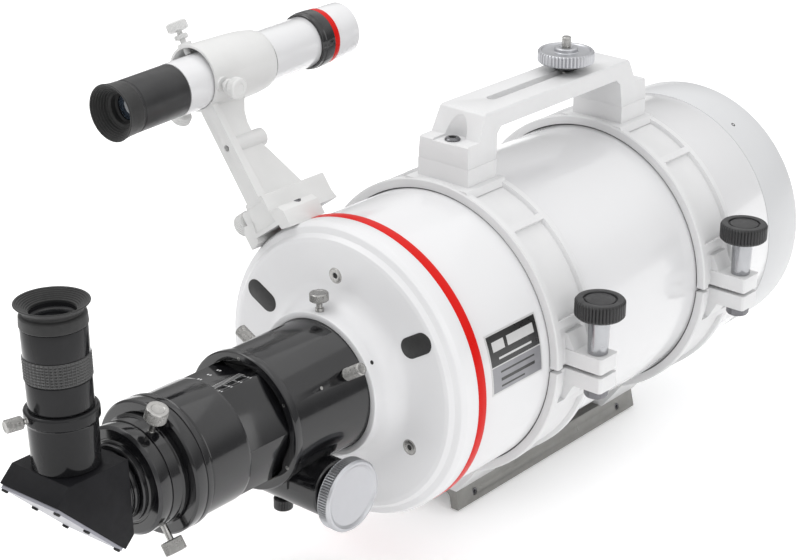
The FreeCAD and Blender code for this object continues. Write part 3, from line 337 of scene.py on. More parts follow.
# ------------------------------------------------------------------ mesh helpers
def finish_mesh(name, bm, body, mats, M4=I4, angle=38.0, replaces=(), slot=None, smooth=True):
    bmesh.ops.remove_doubles(bm, verts=bm.verts, dist=1e-5)
    bmesh.ops.recalc_face_normals(bm, faces=bm.faces)
    me = bpy.data.meshes.new(name)
    bm.to_mesh(me)
    bm.free()
    me.transform(TO_ROW @ M4)
    if smooth:
        me.polygons.foreach_set("use_smooth", [True] * len(me.polygons))
        me.set_sharp_from_angle(angle=math.radians(angle))
    for m in (mats if isinstance(mats, (list, tuple)) else [mats]):
        me.materials.append(m)
    ob = bpy.data.objects.new(name, me)
    bpy.context.scene.collection.objects.link(ob)
    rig.ride(ob, body)
    if replaces:
        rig.replaces(ob, *replaces)
    if slot:
        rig.slot(ob, slot)
    return ob


def soften(pts, rad, n=3, closed=True):
    """Rounds the corners of a profile.  A point may carry its own radius as a third value."""
    out = []
    N = len(pts)
    for i in range(N):
        p = pts[i]
        r = p[2] if len(p) > 2 else rad
        if not closed and (i == 0 or i == N - 1):
            out.append((p[0], p[1]))
            continue
        a, b = pts[(i - 1) % N], pts[(i + 1) % N]
        va, vb = (a[0] - p[0], a[1] - p[1]), (b[0] - p[0], b[1] - p[1])
        la, lb = math.hypot(*va), math.hypot(*vb)
        if r <= 0 or la < 1e-6 or lb < 1e-6 or (abs(p[0]) < 1e-6):
            out.append((p[0], p[1]))
            continue
        ca = (va[0] * vb[0] + va[1] * vb[1]) / (la * lb)
        ang = math.acos(max(-1, min(1, ca)))
        if ang > math.radians(172) or ang < math.radians(4):
            out.append((p[0], p[1]))
            continue
        t = min(r / math.tan(ang / 2), la * 0.45, lb * 0.45)
        rr = t * math.tan(ang / 2)
        p0 = (p[0] + va[0] / la * t, p[1] + va[1] / la * t)
        p1 = (p[0] + vb[0] / lb * t, p[1] + vb[1] / lb * t)
        bis = (va[0] / la + vb[0] / lb, va[1] / la + vb[1] / lb)
        lbis = math.hypot(*bis)
        d = rr / math.sin(ang / 2)
        c = (p[0] + bis[0] / lbis * d, p[1] + bis[1] / lbis * d)
        a0 = math.atan2(p0[1] - c[1], p0[0] - c[0])
        a1 = math.atan2(p1[1] - c[1], p1[0] - c[0])
        da = (a1 - a0 + math.pi) % (2 * math.pi) - math.pi
        k = max(1, n if rr > 0.6 else 2)
        if rr > 3:
            k = n * 3
        for j in range(k + 1):
            q = a0 + da * j / k
            out.append((c[0] + rr * math.cos(q), c[1] + rr * math.sin(q)))
    return out


def split(pts, h0, h1, n, tol=1e-6):
    """Adds n divisions along profile segments that lie between heights h0 and h1."""
    out = []
    N = len(pts)
    for i in range(N):
        a, b = pts[i], pts[(i + 1) % N]
        out.append(a)
        if min(a[1], b[1]) >= h0 - tol and max(a[1], b[1]) <= h1 + tol and abs(a[1] - b[1]) > 1e-6 \
                and abs(a[1] - b[1]) >= (h1 - h0) * 0.5:
            for j in range(1, n):
                out.append((a[0] + (b[0] - a[0]) * j / n, a[1] + (b[1] - a[1]) * j / n))
    return out


def lathe_bm(bm, pts, axis="Y", seg=128, fn=None, matfn=None, closed=True, M4=I4):
    """Turns a profile of (radius, height) about an axis."""
    N = len(pts)
    cols = []
    for i, (r, h) in enumerate(pts):
        ring = []
        for s in range(seg):
            th = 2 * math.pi * s / seg
            rr, hh = (fn(th, r, h) if fn and r > 1e-6 else (r, h))
            c, d = rr * math.cos(th), rr * math.sin(th)
            v = (c, hh, d) if axis == "Y" else ((c, d, hh) if axis == "Z" else (hh, c, d))
            ring.append(bm.verts.new(M4 @ Vector(v)))
            if r <= 1e-6:
                break
        cols.append(ring)
    last = N if closed else N - 1
    for i in range(last):
        a, b = cols[i], cols[(i + 1) % N]
        if len(a) == 1 and len(b) == 1:
            continue
        mi = matfn((pts[i][0] + pts[(i + 1) % N][0]) / 2, (pts[i][1] + pts[(i + 1) % N][1]) / 2, pts[i],
                   pts[(i + 1) % N]) if matfn else 0
        for s in range(seg):
            t = (s + 1) % seg
            if len(a) == 1:
                vs = [a[0], b[s], b[t]]
            elif len(b) == 1:
                vs = [a[s], b[0], a[t]]
            else:
                vs = [a[s], b[s], b[t], a[t]]
            try:
                f = bm.faces.new(vs)
                f.material_index = mi
            except ValueError:
                pass


def lathe(name, pts, body, mats, axis="Y", seg=128, rad=0.3, M4=I4, fn=None, matfn=None, replaces=(), angle=38.0,
          closed=True, n=3, divide=None):
    bm = bmesh.new()
    p = soften(pts, rad, n, closed)
    if divide:
        for d in divide:
            p = split(p, *d)
    lathe_bm(bm, p, axis, seg, fn, matfn, closed)
    return finish_mesh(name, bm, body, mats, M4, angle, replaces)


def add_box(bm, x0, x1, y0, y1, z0, z1, M4=I4, bevel=0.0, mi=0):
    vs = [bm.verts.new(M4 @ Vector((x, y, z))) for x in (x0, x1) for y in (y0, y1) for z in (z0, z1)]
    idx = [(0, 1, 3, 2), (4, 6, 7, 5), (0, 4, 5, 1), (2, 3, 7, 6), (0, 2, 6, 4), (1, 5, 7, 3)]
    fs = [bm.faces.new([vs[i] for i in f]) for f in idx]
    for f in fs:
        f.material_index = mi
    if bevel:
        es = list({e for f in fs for e in f.edges})
        bmesh.ops.bevel(bm, geom=es, offset=bevel, segments=2, profile=0.5, affect="EDGES", clamp_overlap=True)


def add_prism(bm, pts, h0, h1, plane="XY", M4=I4, mi=0):
    """Extrudes a polygon along the axis that its plane leaves free."""
    def at(p, h):
        if plane == "XY":
            return Vector((p[0], p[1], h))
        if plane == "XZ":
            return Vector((p[0], h, p[1]))
        return Vector((h, p[0], p[1]))
    a = [bm.verts.new(M4 @ at(p, h0)) for p in pts]
    b = [bm.verts.new(M4 @ at(p, h1)) for p in pts]
    fs = [bm.faces.new(a), bm.faces.new(list(reversed(b)))]
    n = len(pts)
    for i in range(n):
        fs.append(bm.faces.new([a[i], b[i], b[(i + 1) % n], a[(i + 1) % n]]))
    for f in fs:
        f.material_index = mi
    return fs


def bevel_sharp(bm, width, angle=28.0, seg=2, mi=None, test=None):
    bmesh.ops.recalc_face_normals(bm, faces=bm.faces)
    es = [e for e in bm.edges if len(e.link_faces) == 2 and e.calc_face_angle(0) > math.radians(angle)
          and (test is None or test(e))]
    kw = {} if mi is None else {"material": mi}
    bmesh.ops.bevel(bm, geom=es, offset=width, segments=seg, profile=0.5, affect="EDGES", clamp_overlap=True, **kw)


def from_node(name, node, width, mats, angle=28.0, seg=2, shade=35.0, dissolve=1.0, mi=None, test=None,
              replaces=True, more=None):
    """A detailed copy of a CAD node: its edges are rounded and it takes richer materials."""
    src = NODES[node]
    bm = bmesh.new()
    bm.from_mesh(src.data)
    bmesh.ops.transform(bm, matrix=TO_ROW.inverted(), verts=bm.verts)
    bmesh.ops.remove_doubles(bm, verts=bm.verts, dist=0.004)
    bmesh.ops.dissolve_limit(bm, angle_limit=math.radians(dissolve), verts=bm.verts, edges=bm.edges)
    for f in bm.faces:
        f.material_index = 0
    if width > 0:
        bevel_sharp(bm, width, angle, seg, mi, test)
    if more:
        more(bm)
    return finish_mesh(name, bm, src["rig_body"], mats, I4, shade, (node,) if replaces else ())


def keep(node, mat):
    """A CAD node that stays, with a richer material."""
    ob = NODES[node]
    if not ob.material_slots:
        ob.data.materials.append(mat)
    for s in ob.material_slots:
        s.link = "OBJECT"
        s.material = mat


def tri(x):
    x = x % 1.0
    return 1 - abs(2 * x - 1)


def straight(n, depth, r0, tol=0.08, h0=-1e9, h1=1e9, sharp=0.5):
    def f(th, r, h):
        if r > r0 - tol and h0 <= h <= h1:
            t = tri(th * n / (2 * math.pi))
            return r - depth * (1 - min(1.0, t / sharp)), h
        return r, h
    return f


def diamond(n, pitch, depth, r0, tol=0.08, h0=-1e9, h1=1e9):
    def f(th, r, h):
        if r > r0 - tol and h0 <= h <= h1:
            u = th * n / (2 * math.pi)
            v = h / pitch
            k = min(tri(u + v), tri(u - v))
            return r - depth * (1 - min(1.0, 1.5 * k)), h
        return r, h
    return f


def thumbscrew(name, node, body, mat, shank, tip, neck_r, neck_z, head_r, h0, h1, M4, n=44, depth=0.25, chamfer=0.45,
               kind="diamond", dish=0.25, extra=None):
    """Knurled screw about local +Z."""
    pts = [(0, tip), (shank - 0.4, tip), (shank, tip + 0.4), (shank, neck_z), (neck_r, neck_z + 0.2), (neck_r, h0),
           (head_r - chamfer, h0), (head_r, h0 + chamfer), (head_r, h1 - chamfer), (head_r - chamfer, h1),
           (head_r * 0.62, h1), (head_r * 0.56, h1 - dish), (0, h1 - dish)]
    # ridges of a thread on the visible stem
    if extra:
        z = neck_z + 0.5
        i = 5
        stem = []
        while z < h0 - 0.5:
            stem += [(neck_r, z), (neck_r - 0.18, z + 0.25)]
            z += 0.5
        pts = pts[:i] + stem + pts[i:]
    p = soften(pts, 0.08, 2, True)
    a, b = h0 + chamfer + 0.02, h1 - chamfer - 0.02
    rows = max(6, int((b - a) / 0.22))
    p = split(p, h0 + chamfer - 0.1, h1 - chamfer + 0.1, rows)
    f = diamond(n, (2 * math.pi * head_r / n), depth, head_r, 0.06, a, b) if kind == "diamond" else \
        straight(n, depth, head_r, 0.06, a, b)
    bm = bmesh.new()
    lathe_bm(bm, p, "Z", n * 6 if n * 6 <= 420 else n * 4, f)
    return finish_mesh(name, bm, body, mat, M4, 30.0, (node,) if node else ())


# ------------------------------------------------------------------ plain materials of every CAD node
DEFAULT = {
    "white_enamel": "enamel", "grey_white_enamel": "front", "red_band": "red", "cast_white": "cast",
    "black_anodised": "black", "black_matte": "flat_black", "dark_grey": "dark", "steel": "steel",
    "chrome": "chrome", "aluminium": "alu", "brass": "brass", "glass": "glass", "mirror": "mirror",
    "black_plastic": "plastic", "rubber": "rubber", "felt": "felt"}
for sp in frame["record"]["subparts"]:
    keep(sp["node"], M[DEFAULT.get(sp["material_slot"], "cast")])
keep("diagonal_cover", M["plate"])
keep("finder_bracket", M["finder_cast"])
keep("dovetail_bar", M["bar"])
keep("mirror_cell", M["flat_black"])
ROOT = "tube_assembly"

# ------------------------------------------------------------------ main tube, stripe, cells
lathe("main_tube_shell", [(87.6, 0), (90.0, 0), (90.0, 325.5), (87.6, 325.5)], ROOT, [M["enamel"], M["flat_black"]],
      seg=256, rad=0.2, replaces=("main_tube",), matfn=lambda r, h, a, b: 1 if r < 88.0 else 0)
lathe("colour_stripe", [(90.0, 0.05), (92.15, 0.05), (92.15, 7.0), (91.5, 7.6), (90.0, 7.6)], ROOT, M["red"], seg=256,
      rad=0.25, replaces=("stripe_ring",))
lathe("front_cell_shell",
      [(90.2, 325.6), (90.2, 363.4, 1.2), (87.0, 363.4, 0.4), (86.2, 362.6), (86.2, 354.2), (85.0, 354.2), (85.0, 351.0), (79.0, 351.0),
       (79.0, 333.0), (76.0, 333.0), (76.0, 331.0), (84.0, 331.0), (84.0, 316.0), (87.6, 316.0), (87.6, 325.6)], ROOT,
      [M["front"], M["flat_black"]], seg=256, rad=0.2, replaces=("front_cell",),
      matfn=lambda r, h, a, b: 1 if (r < 86.4 and h < 362.0) else 0)

fil = [(58.0 - 12.95 * math.sin(math.radians(a)), -18.0 - 12.95 * (1 - math.cos(math.radians(a))))
       for a in range(0, 91, 6)]
cell_pts = [(92.0, 0, 0.1), (92.0, -10.4, 3.4), (90.2, -13.8, 1.6), (86.4, -14.8, 1.0), (84.2, -17.6, 1.0),
            (81.4, -18.0, 0.6), (72.0, -18.0, 0)] + [(r, y, 0) for r, y in fil] + \
           [(45.05, -36.5, 0.7), (41.05, -36.5, 0.4), (41.02, -8.0, 0), (47.0, -8.0, 0), (56.0, -11.5, 0),
            (78.0, -11.5, 0), (84.0, -7.0, 0), (84.0, 20.0, 0.3), (87.55, 20.0, 0.3), (87.55, 0, 0)]
lathe("rear_cell_casting", cell_pts, ROOT, [M["cell"], M["flat_black"]], seg=256, rad=0.3, replaces=("rear_cell",),
      matfn=lambda r, h, a, b: 1 if (h > -8.5 and r < 87.7) else 0)

# countersunk cell screws, set in a faint ring; the shallow centre of each head takes flat black, painted shade of the
# socket
bm = bmesh.new()
for a in (91.5, 211.5, 331.5):
    x, z = 63.0 * math.cos(math.radians(a)), 63.0 * math.sin(math.radians(a))
    Mx = T(x, 0, z)
    lathe_bm(bm, soften([(0, -18.05), (1.7, -18.05), (1.9, -18.30), (2.1, -18.33), (4.1, -18.24), (4.3, -18.0),
                         (4.3, -17.4), (0, -17.4)], 0.08, 2), "Y", 40, M4=Mx,
             matfn=lambda r, h, p, q: 1 if r < 1.8 else 0)
    lathe_bm(bm, soften([(4.3, -17.6), (4.3, -18.03), (4.9, -18.06), (5.0, -17.6)], 0.03, 2), "Y", 40, M4=Mx)
finish_mesh("cell_screw_heads", bm, ROOT, [M["steel"], M["flat_black"]])

# obround cover pads
bm = bmesh.new()
for a in (31.5, 151.5, 271.5):
    Mx = radial(a)
    pts = []
    for s in (1, -1):
        for j in range(17):
            q = math.radians(180 * j / 16) if s > 0 else math.radians(180 + 180 * j / 16)
            pts.append((6.45 * math.cos(q), (75.7 if s > 0 else 64.5) + 6.45 * math.sin(q)))
    add_prism(bm, pts, -17.2, -18.32, "XZ", Mx)
bevel_sharp(bm, 0.3, 50.0)
finish_mesh("cover_pads", bm, ROOT, M["rubber"])
# small grub hole on the collar's flare, drawn as a flat black disc that is painted shade, and two dots on the front
# cell
bm = bmesh.new()
for ph in (32.5, 152.5):
    lathe_bm(bm, soften([(0, 44.2), (1.15, 44.2), (1.3, 45.11), (0, 45.13)], 0.05, 2), "Z", 24, M4=radial(ph, -31.3))
for ph in (58.0, 178.0, 298.0):
    lathe_bm(bm, soften([(0, 89.6), (1.5, 89.6), (1.5, 90.21), (1.2, 90.3), (0.8, 90.3), (0.6, 89.9), (0, 89.9)],
                        0.05, 2), "Z", 24, M4=radial(ph, 337.5))
finish_mesh("plugs_and_painted_hole_shade", bm, ROOT, M["flat_black"])

# label plate: a plain two-tone plate with neutral bars
bm = bmesh.new()


def patch(y0, y1, a0, a1, r, mi, n=10):
    rows = []
    for i in range(n + 1):
        a = math.radians(a0 + (a1 - a0) * i / n)
        rows.append([bm.verts.new((r * math.cos(a), y, r * math.sin(a))) for y in (y0, y1)])
    for i in range(n):
        f = bm.faces.new([rows[i][0], rows[i][1], rows[i + 1][1], rows[i + 1][0]])
        f.material_index = mi
    edge = [[v.co.copy() for v in r_] for r_ in rows]
    inner = [[bm.verts.new((v.x * 89.98 / r, v.y, v.z * 89.98 / r)) for v in r_] for r_ in edge]
    for i in range(n):
        for k in (0, 1):
            f = bm.faces.new([rows[i][k], rows[i + 1][k], inner[i + 1][k], inner[i][k]])
            f.material_index = mi
    for k in (0, n):
        f = bm.faces.new([rows[k][0], rows[k][1], inner[k][1], inner[k][0]])
        f.material_index = mi


patch(15.4, 63.6, 0.9, 24.3, 90.20, 2)
patch(16.6, 62.4, 11.9, 23.6, 90.26, 0)
patch(16.6, 62.4, 1.6, 11.4, 90.26, 1)
finish_mesh("label_plate_blank", bm, ROOT, [M["label_black"], M["label_grey"], M["label_light"]])
bm = bmesh.new()
for (y0, y1, a0, a1, mi) in ((20.0, 31.0, 17.2, 21.0, 0), (34.0, 59.0, 17.2, 21.0, 0), (24.0, 55.0, 13.8, 14.6, 0), (24.0, 56.0, 8.6, 9.3, 1),
                             (24.0, 56.0, 5.4, 6.6, 1), (24.0, 46.0, 3.0, 3.7, 1)):
    patch(y0, y1, a0, a1, 90.30, mi, 4)
finish_mesh("label_neutral_bars", bm, ROOT, [M["label_light"], M["label_black"]])

# ------------------------------------------------------------------ clamp rings, handle, bar
from_node("lower_ring_castings", "lower_rings", 0.8, M["cast"], angle=30, seg=3)
from_node("upper_ring_castings", "upper_rings", 0.8, M["cast"], angle=30, seg=3)
from_node("carry_handle_casting", "carry_handle", 1.1, M["cast"], angle=20, seg=3)
from_node("dovetail_bar_milled", "dovetail_bar", 0.35, M["bar"], angle=30, seg=2)
# button-head screws of the handle; the shallow recess in each head takes flat black, painted shade of the socket
bm = bmesh.new()
for ys in (87.05, 259.1):
    lathe_bm(bm, soften([(0, 96.0), (2.5, 96.0), (2.5, 119.4), (4.8, 119.4), (4.9, 120.1), (4.1, 121.0), (2.6, 121.4),
                         (2.3, 121.2), (2.1, 120.2), (0, 120.2)], 0.1, 2), "Z", 48, M4=T(0, ys, 0),
             matfn=lambda r, h, p, q: 1 if (r < 2.3 and h > 119.6) else 0)
finish_mesh("handle_button_screws", bm, "upper_ring_set", [M["dark_steel"], M["flat_black"]],
            replaces=("handle_screws",))
from_node("clamp_hex_nuts", "clamp_nuts", 0.3, M["dark_steel"], angle=25)
from_node("socket_and_slotted_screws", "fixing_screws", 0.12, M["dark_steel"], angle=40)

RING_Y = (70.4, 232.55)
for nm, y0 in (("rear", RING_Y[0]), ("front", RING_Y[1])):
    body = "clamp_knob_" + nm
    Mx = T(111.2, y0 + 19.8, 0)
    pts = [(0, 33.75), (13.9, 33.75, 0.6), (15.35, 35.2, 0.6), (15.35, 43.8, 0.7), (14.2, 45.2, 0.6), (10.4, 45.2, 0.3),
           (10.2, 43.9, 0.3), (9.3, 43.9, 0.3), (9.1, 44.8, 0.3), (0, 44.8)]
    p = split(soften(pts, 0.3, 3), 35.0, 44.0, 3)
    bm = bmesh.new()
    lathe_bm(bm, p, "Z", 44 * 6, straight(44, 0.62, 15.35, 0.9, 34.4, 44.6, 0.55))
    finish_mesh("ribbed_knob_" + nm, bm, body, M["plastic"], Mx, 40.0, ("clamp_knob_" + nm,))
    # sleeve and bolt
    th = []
    z = -19.4
    while z < -2.0:
        th += [(2.95, z), (2.68, z + 0.35)]
        z += 0.7
    lathe("knob_sleeve_" + nm, [(0, -20.0), (2.5, -20.0), (2.95, -19.6)] + [(r, h, 0) for r, h in th[2:]] +
          [(2.95, -1.0), (2.95, 10.0), (6.2, 10.0, 0.5), (6.75, 33.7, 0.3), (0, 33.7)], body, M["sleeve"], axis="Z",
          seg=64, rad=0.12, M4=Mx)

# ------------------------------------------------------------------ camera screw
Mx = T(0, 202.3, 0)
pts = [(2.76, 142.6), (17.2, 142.6), (18.3, 143.5), (18.3, 149.4), (17.5, 150.35), (16.1, 150.35), (15.5, 149.5),
       (8.2, 149.45), (7.6, 149.9), (7.6, 151.8), (7.0, 152.4), (4.4, 152.4), (4.0, 151.9), (2.76, 151.9)]
p = split(soften(pts, 0.15, 2), 143.4, 149.5, 10)
bm = bmesh.new()
lathe_bm(bm, p, "Z", 46 * 9, straight(46, 0.85, 18.3, 0.1, 143.2, 149.7, 0.7))
finish_mesh("knurled_disc", bm, "camera_disc", M["silver"], Mx, 35.0, ("camera_lock_disc",))
lathe("disc_neck", [(2.76, 137.15), (5.8, 137.15), (5.8, 138.7), (8.5, 138.7), (9.1, 139.4), (9.1, 142.6),
                    (2.76, 142.6)], "camera_disc", M["gloss_plastic"], axis="Z", seg=64, rad=0.15, M4=Mx)
th = []
z = 130.2
while z < 158.0:
    th += ([(2.68, z), (2.45, z + 0.64)] if z < 152.4 else [(3.15, z), (2.80, z + 0.64)])
    z += 1.27
lathe("threaded_stud", [(0, 126.6), (7.0, 126.6, 0.4), (7.0, 129.6, 0.3), (2.65, 129.6)] +
      [(r, h, 0) for r, h in th] + [(3.0, 158.6), (2.4, 159.2), (0, 159.2)], "camera_screw", M["steel"], axis="Z",
      seg=72, rad=0.1, M4=Mx, replaces=("camera_stud",), angle=60)

# ------------------------------------------------------------------ focuser
from_node("focuser_body_gloss", "focuser_body", 0.45, [M["black"]], angle=35, seg=2)


def bright(limit=0.75):
    """Bright machined edge on the short chamfer segments of a turned part."""
    def f(r, h, a, b):
        return 1 if (0.02 < math.hypot(a[0] - b[0], a[1] - b[1]) < limit and a[0] != b[0] and a[1] != b[1]) else 0
    return f


from_node("flange_ring", "focuser_flange", 0.25, [M["black"], M["edge"]], angle=35, seg=2)
# flange screw heads; the shallow centre of each head takes flat black, painted shade of the socket
bm = bmesh.new()
for k in (0, 1, 2, 3, 5):
    a = math.radians(32.3 + 60 * k)
    x, z = 38.4 * math.cos(a), 38.4 * math.sin(a)
    lathe_bm(bm, soften([(0, -98.5), (0.5, -98.7), (0.6, -99.05), (1.1, -99.0), (1.24, -98.7), (1.24, -90.5),
                         (0, -90.5)], 0.06, 2), "Y", 24, M4=T(x, 0, z), matfn=lambda r, h, p, q: 1 if r < 0.55 else 0)
finish_mesh("flange_screw_heads", bm, "focuser", [M["steel"], M["flat_black"]], replaces=("flange_screws",))
# small bright set pin on the side of the body
lathe("body_set_pin", [(0, 38.6), (1.05, 38.6), (1.05, 40.35), (0.7, 40.6), (0.5, 40.2), (0, 40.2)], "focuser",
      M["steel"], axis="Z", seg=24, rad=0.05, M4=radial(31.5, -70.0))

yp, zp = -67.4, -42.0
for sx, nm in ((1, "right"), (-1, "left")):
    pts = [(0, 45.9), (19.6, 45.9, 0.5), (21.75, 47.4, 0.4), (21.75, 54.2, 0.3), (20.8, 55.5, 0.3), (19.4, 55.6, 0.2),
           (18.8, 55.0, 0.2), (17.6, 54.2, 1.5), (8.0, 53.6, 2.0), (0, 53.5)]
    p = split(soften(pts, 0.2, 3), 47.3, 54.4, 10)
    bm = bmesh.new()
    lathe_bm(bm, [(r, sx * h) for r, h in p], "X", 84 * 5,
             (lambda s: (lambda th, r, h: straight(84, 0.62, 21.75, 0.1, 47.5, 54.1, 0.7)(th, r, abs(h))))(sx))
    for v in bm.verts:
        v.co.x = abs(v.co.x) * sx
    finish_mesh("knurled_focus_knob_" + nm, bm, "pinion", M["silver"], T(0, yp, zp), 35.0,
                ("focus_knobs",) if sx > 0 else ())
for sx, nm in ((1, "right"), (-1, "left")):
    lathe("pinion_collar_" + nm, [(0, sx * 46.0), (6.0, sx * 46.0), (6.0, sx * 45.35), (0, sx * 45.35)], "pinion",
          M["steel"], axis="X", seg=48, rad=0.08, M4=T(0, yp, zp))
bm = bmesh.new()
pts = [(0, -69.6), (4.8, -69.6), (5.8, -68.8), (5.8, -62.6), (5.0, -61.8), (3.3, -61.8), (3.3, -60.0), (2.5, -60.0),
       (2.5, -49.9), (0, -49.9)]
p = split(soften(pts, 0.12, 2), -69.0, -62.4, 6)
lathe_bm(bm, p, "Z", 36 * 6, straight(36, 0.35, 5.8, 0.1, -68.9, -62.5, 0.6))
finish_mesh("knurled_focus_lock", bm, "focus_lock", M["gloss_plastic"], T(0, yp, 0), 35.0, ("focus_lock_screw",))

# ------------------------------------------------------------------ drawtube and accessory rings
from_node("hex_drawtube", "drawtube", 0.25, [M["black"], M["edge"]], angle=50, seg=1)
bm = bmesh.new()
for k in range(17):
    yy = -127.0 + 1.5 * k
    add_box(bm, 6.0, 11.0 if k % 5 else 14.0, -0.12, 0.12, 31.24, 31.45, radial(97.5, yy))
for yy in (-127.0, -119.5, -112.0, -104.5):
    for x in (-9.4, -7.4):
        add_box(bm, x, x + 1.1, -0.7, 0.7, 31.35, 31.46, radial(97.5, yy))
        add_box(bm, x + 24.4, x + 25.1, -0.7, 0.7, 31.35, 31.46, radial(97.5, yy))
finish_mesh("drawtube_scale", bm, "drawtube", M["ink"])
lathe("adapter_barrel",
      [(29.5, -129.0), (36.1, -129.0, 0.1), (36.8, -129.6, 0.1), (37.0, -131.0, 0.3), (37.0, -157.2, 0.3), (36.4, -158.3, 0.2), (35.8, -158.3),
       (35.8, -159.3), (38.2, -159.6, 0.2), (39.0, -160.3, 0.25), (39.0, -163.6, 0.1), (38.4, -163.9, 0),
       (38.4, -164.6, 0), (39.0, -164.9, 0.1), (39.0, -171.0, 0.3), (37.8, -172.2, 0.3), (25.6, -172.2, 0),
       (25.6, -133.0, 0), (29.5, -131.0, 0)], "drawtube", [M["black"], M["edge"]], seg=192, rad=0.15, replaces=("focuser_adapter",),
      matfn=lambda r, h, a, b: 1 if (-129.9 < h < -129.1 and r > 36.0) else 0)
lathe("reducer_barrel",
      [(15.96, -172.2, 0), (31.6, -172.2, 0), (31.6, -173.4, 0.1), (32.4, -173.6, 0.1), (32.4, -175.0, 0.2),
       (31.3, -175.6, 0.1), (31.3, -182.0, 0.1), (30.6, -182.3, 0), (30.6, -182.9, 0), (31.3, -183.2, 0.1),
       (31.3, -189.9, 0.3), (29.6, -191.5, 0.3), (24.6, -191.5, 0), (24.2, -191.1, 0), (23.4, -191.1, 0),
       (23.0, -191.5, 0), (22.4, -191.7, 0.1), (22.4, -194.2, 0.2), (21.6, -194.9, 0.2), (17.4, -194.9, 0.1),
       (15.96, -193.6, 0.1)], "drawtube", [M["black"], M["edge_dark"]], seg=192, rad=0.15,
      replaces=("eyepiece_reducer",),
      matfn=lambda r, h, a, b: 1 if ((-191.4 < h < -190.0 and r > 29.7) or (-194.85 < h < -194.3 and r > 21.6)) else 0)

# ------------------------------------------------------------------ knurled screws
thumbscrew("knurled_collar_screw", "collar_screw", "collar_screw", M["steel"], 2.5, 41.35, 1.9,
           47.2, 5.7, 51.6, 56.6, radial(92.5, -31.5), n=48, depth=0.22, extra=True)
for nm, a in (("right", 32.5), ("left", 152.5)):
    thumbscrew("knurled_body_screw_" + nm, "body_screw_" + nm, "body_screw_" + nm, M["steel"], 1.6, 32.2, 1.6,
               41.0, 3.8, 41.8, 55.6, radial(a, -50.0), n=32, depth=0.22, extra=None, chamfer=0.6)
for nm, a, yy in (("upper", 68.0, -178.0), ("lower", -54.0, -179.0)):
    thumbscrew("knurled_nose_screw_" + nm, "nose_screw_" + nm, "nose_screw_" + nm, M["steel"], 2.0, 16.4, 1.8, 31.6,
               6.2, 40.0, 47.4, radial(a, yy), n=52, depth=0.24, extra=None)
thumbscrew("knurled_holder_screw", "holder_screw", "holder_screw", M["steel"], 2.0, 16.4, 1.6, 20.2, 3.6, 22.2, 31.6,
           LEAN @ T(0, Y_EYE, 54.9) @ RZ(256.0) @ RY(90.0), n=36, depth=0.24, extra=None, chamfer=0.5)

# ------------------------------------------------------------------ diagonal
# slot 1 of the diagonal case is the painted edge highlight; the bevel gives it no faces
from_node("diagonal_case", "diagonal_housing", 0.4, [M["dark"], M["dark_line"]], angle=25, seg=2)
from_node("diagonal_cover_plate", "diagonal_cover", 0.2, M["plate"], angle=25, seg=1)
q = 1 / math.sqrt(2)


def hyp(s, t):
    return Vector((0, -231.74 + s * q + t * q, -3.54 - s * q + t * q))


# feet of the cover plate
bm = bmesh.new()
B = Matrix(((1, 0, 0, 0), (0, q, q, 0), (0, -q, q, 0), (0, 0, 0, 1)))
for sx in (-1, 1):
    for s in (-25.2, 0.0, 26.6):
        c = hyp(s, -2.6)
        Mx = LEAN @ T(sx * 20.2, c.y, c.z) @ B
        lathe_bm(bm, soften([(0, -0.5), (1.5, -0.5), (1.9, -0.1), (1.9, 0.9), (0, 0.9)], 0.12, 2), "Z", 24, M4=Mx)
finish_mesh("cover_plate_screws", bm, "diagonal", M["flat_black"])
lathe("diagonal_nose_barrel",
      [(14.2, -205.3), (17.0, -205.3), (17.0, -203.8), (20.0, -203.8, 0.2), (20.4, -203.2, 0.2), (20.4, -200.8, 0.2),
       (19.4, -200.3, 0), (19.4, -199.5, 0), (20.2, -199.1, 0.2), (20.2, -196.2, 0.3), (19.4, -195.4, 0.2),
       (15.86, -195.4, 0), (15.86, -168.6, 0.3), (14.9, -168.0, 0.2), (14.2, -168.0, 0)], "diagonal",
      [M["black"], M["edge"]], seg=128, rad=0.15, M4=LEAN, replaces=("diagonal_nose",))
lathe("eyepiece_socket",
      [(14.4, 23.4), (16.4, 23.4), (16.4, 25.2), (17.75, 25.2, 0.2), (17.9, 26.0, 0.3), (18.3, 50.2, 1.2),
       (18.6, 51.2, 0.6), (19.65, 52.0, 0.9), (19.65, 57.3, 1.0), (18.7, 58.3, 0.5), (16.6, 58.3, 0.2),
       (15.97, 57.9, 0), (15.97, 33.0, 0), (14.4, 31.0, 0)], "diagonal", [M["black_z"], M["edge"]], axis="Z", seg=160,
      rad=0.15, M4=LEAN @ T(0, Y_EYE, 0), replaces=("eyepiece_holder",))

# ------------------------------------------------------------------ eyepiece
EP = LEAN @ T(0, Y_EYE, 0)
lathe("eyepiece_chrome_barrel", [(14.0, 33.6), (15.4, 33.6), (15.86, 34.1), (15.86, 58.5), (14.0, 58.5)], "eyepiece",
      M["chrome"], axis="Z", seg=128, rad=0.15, M4=EP)
lathe("eyepiece_lower_body",
      [(14.0, 58.4), (16.5, 58.4, 0.3), (17.1, 59.0, 0.4), (17.1, 73.9, 0.3), (16.4, 74.3), (16.4, 87.5), (17.15, 87.9, 0.3),
       (17.15, 102.9, 0.3), (15.6, 103.1), (15.6, 109.6), (12.2, 109.6), (12.2, 106.6), (9.6, 106.6), (9.6, 70.0),
       (14.0, 66.0)], "eyepiece", M["black_z"], axis="Z", seg=160, rad=0.15, M4=EP, replaces=("eyepiece_body",))
# grip with rows of small pyramids
bm = bmesh.new()
pts = [(16.3, 74.35), (16.9, 74.35), (17.0, 74.5), (17.0, 87.3), (16.9, 87.45), (16.3, 87.45)]
n_h = 8 * 6
p = [pts[0], pts[1]] + [(17.0, 74.5 + (12.8) * j / n_h) for j in range(n_h + 1)] + [pts[4], pts[5]]
ncol = 46


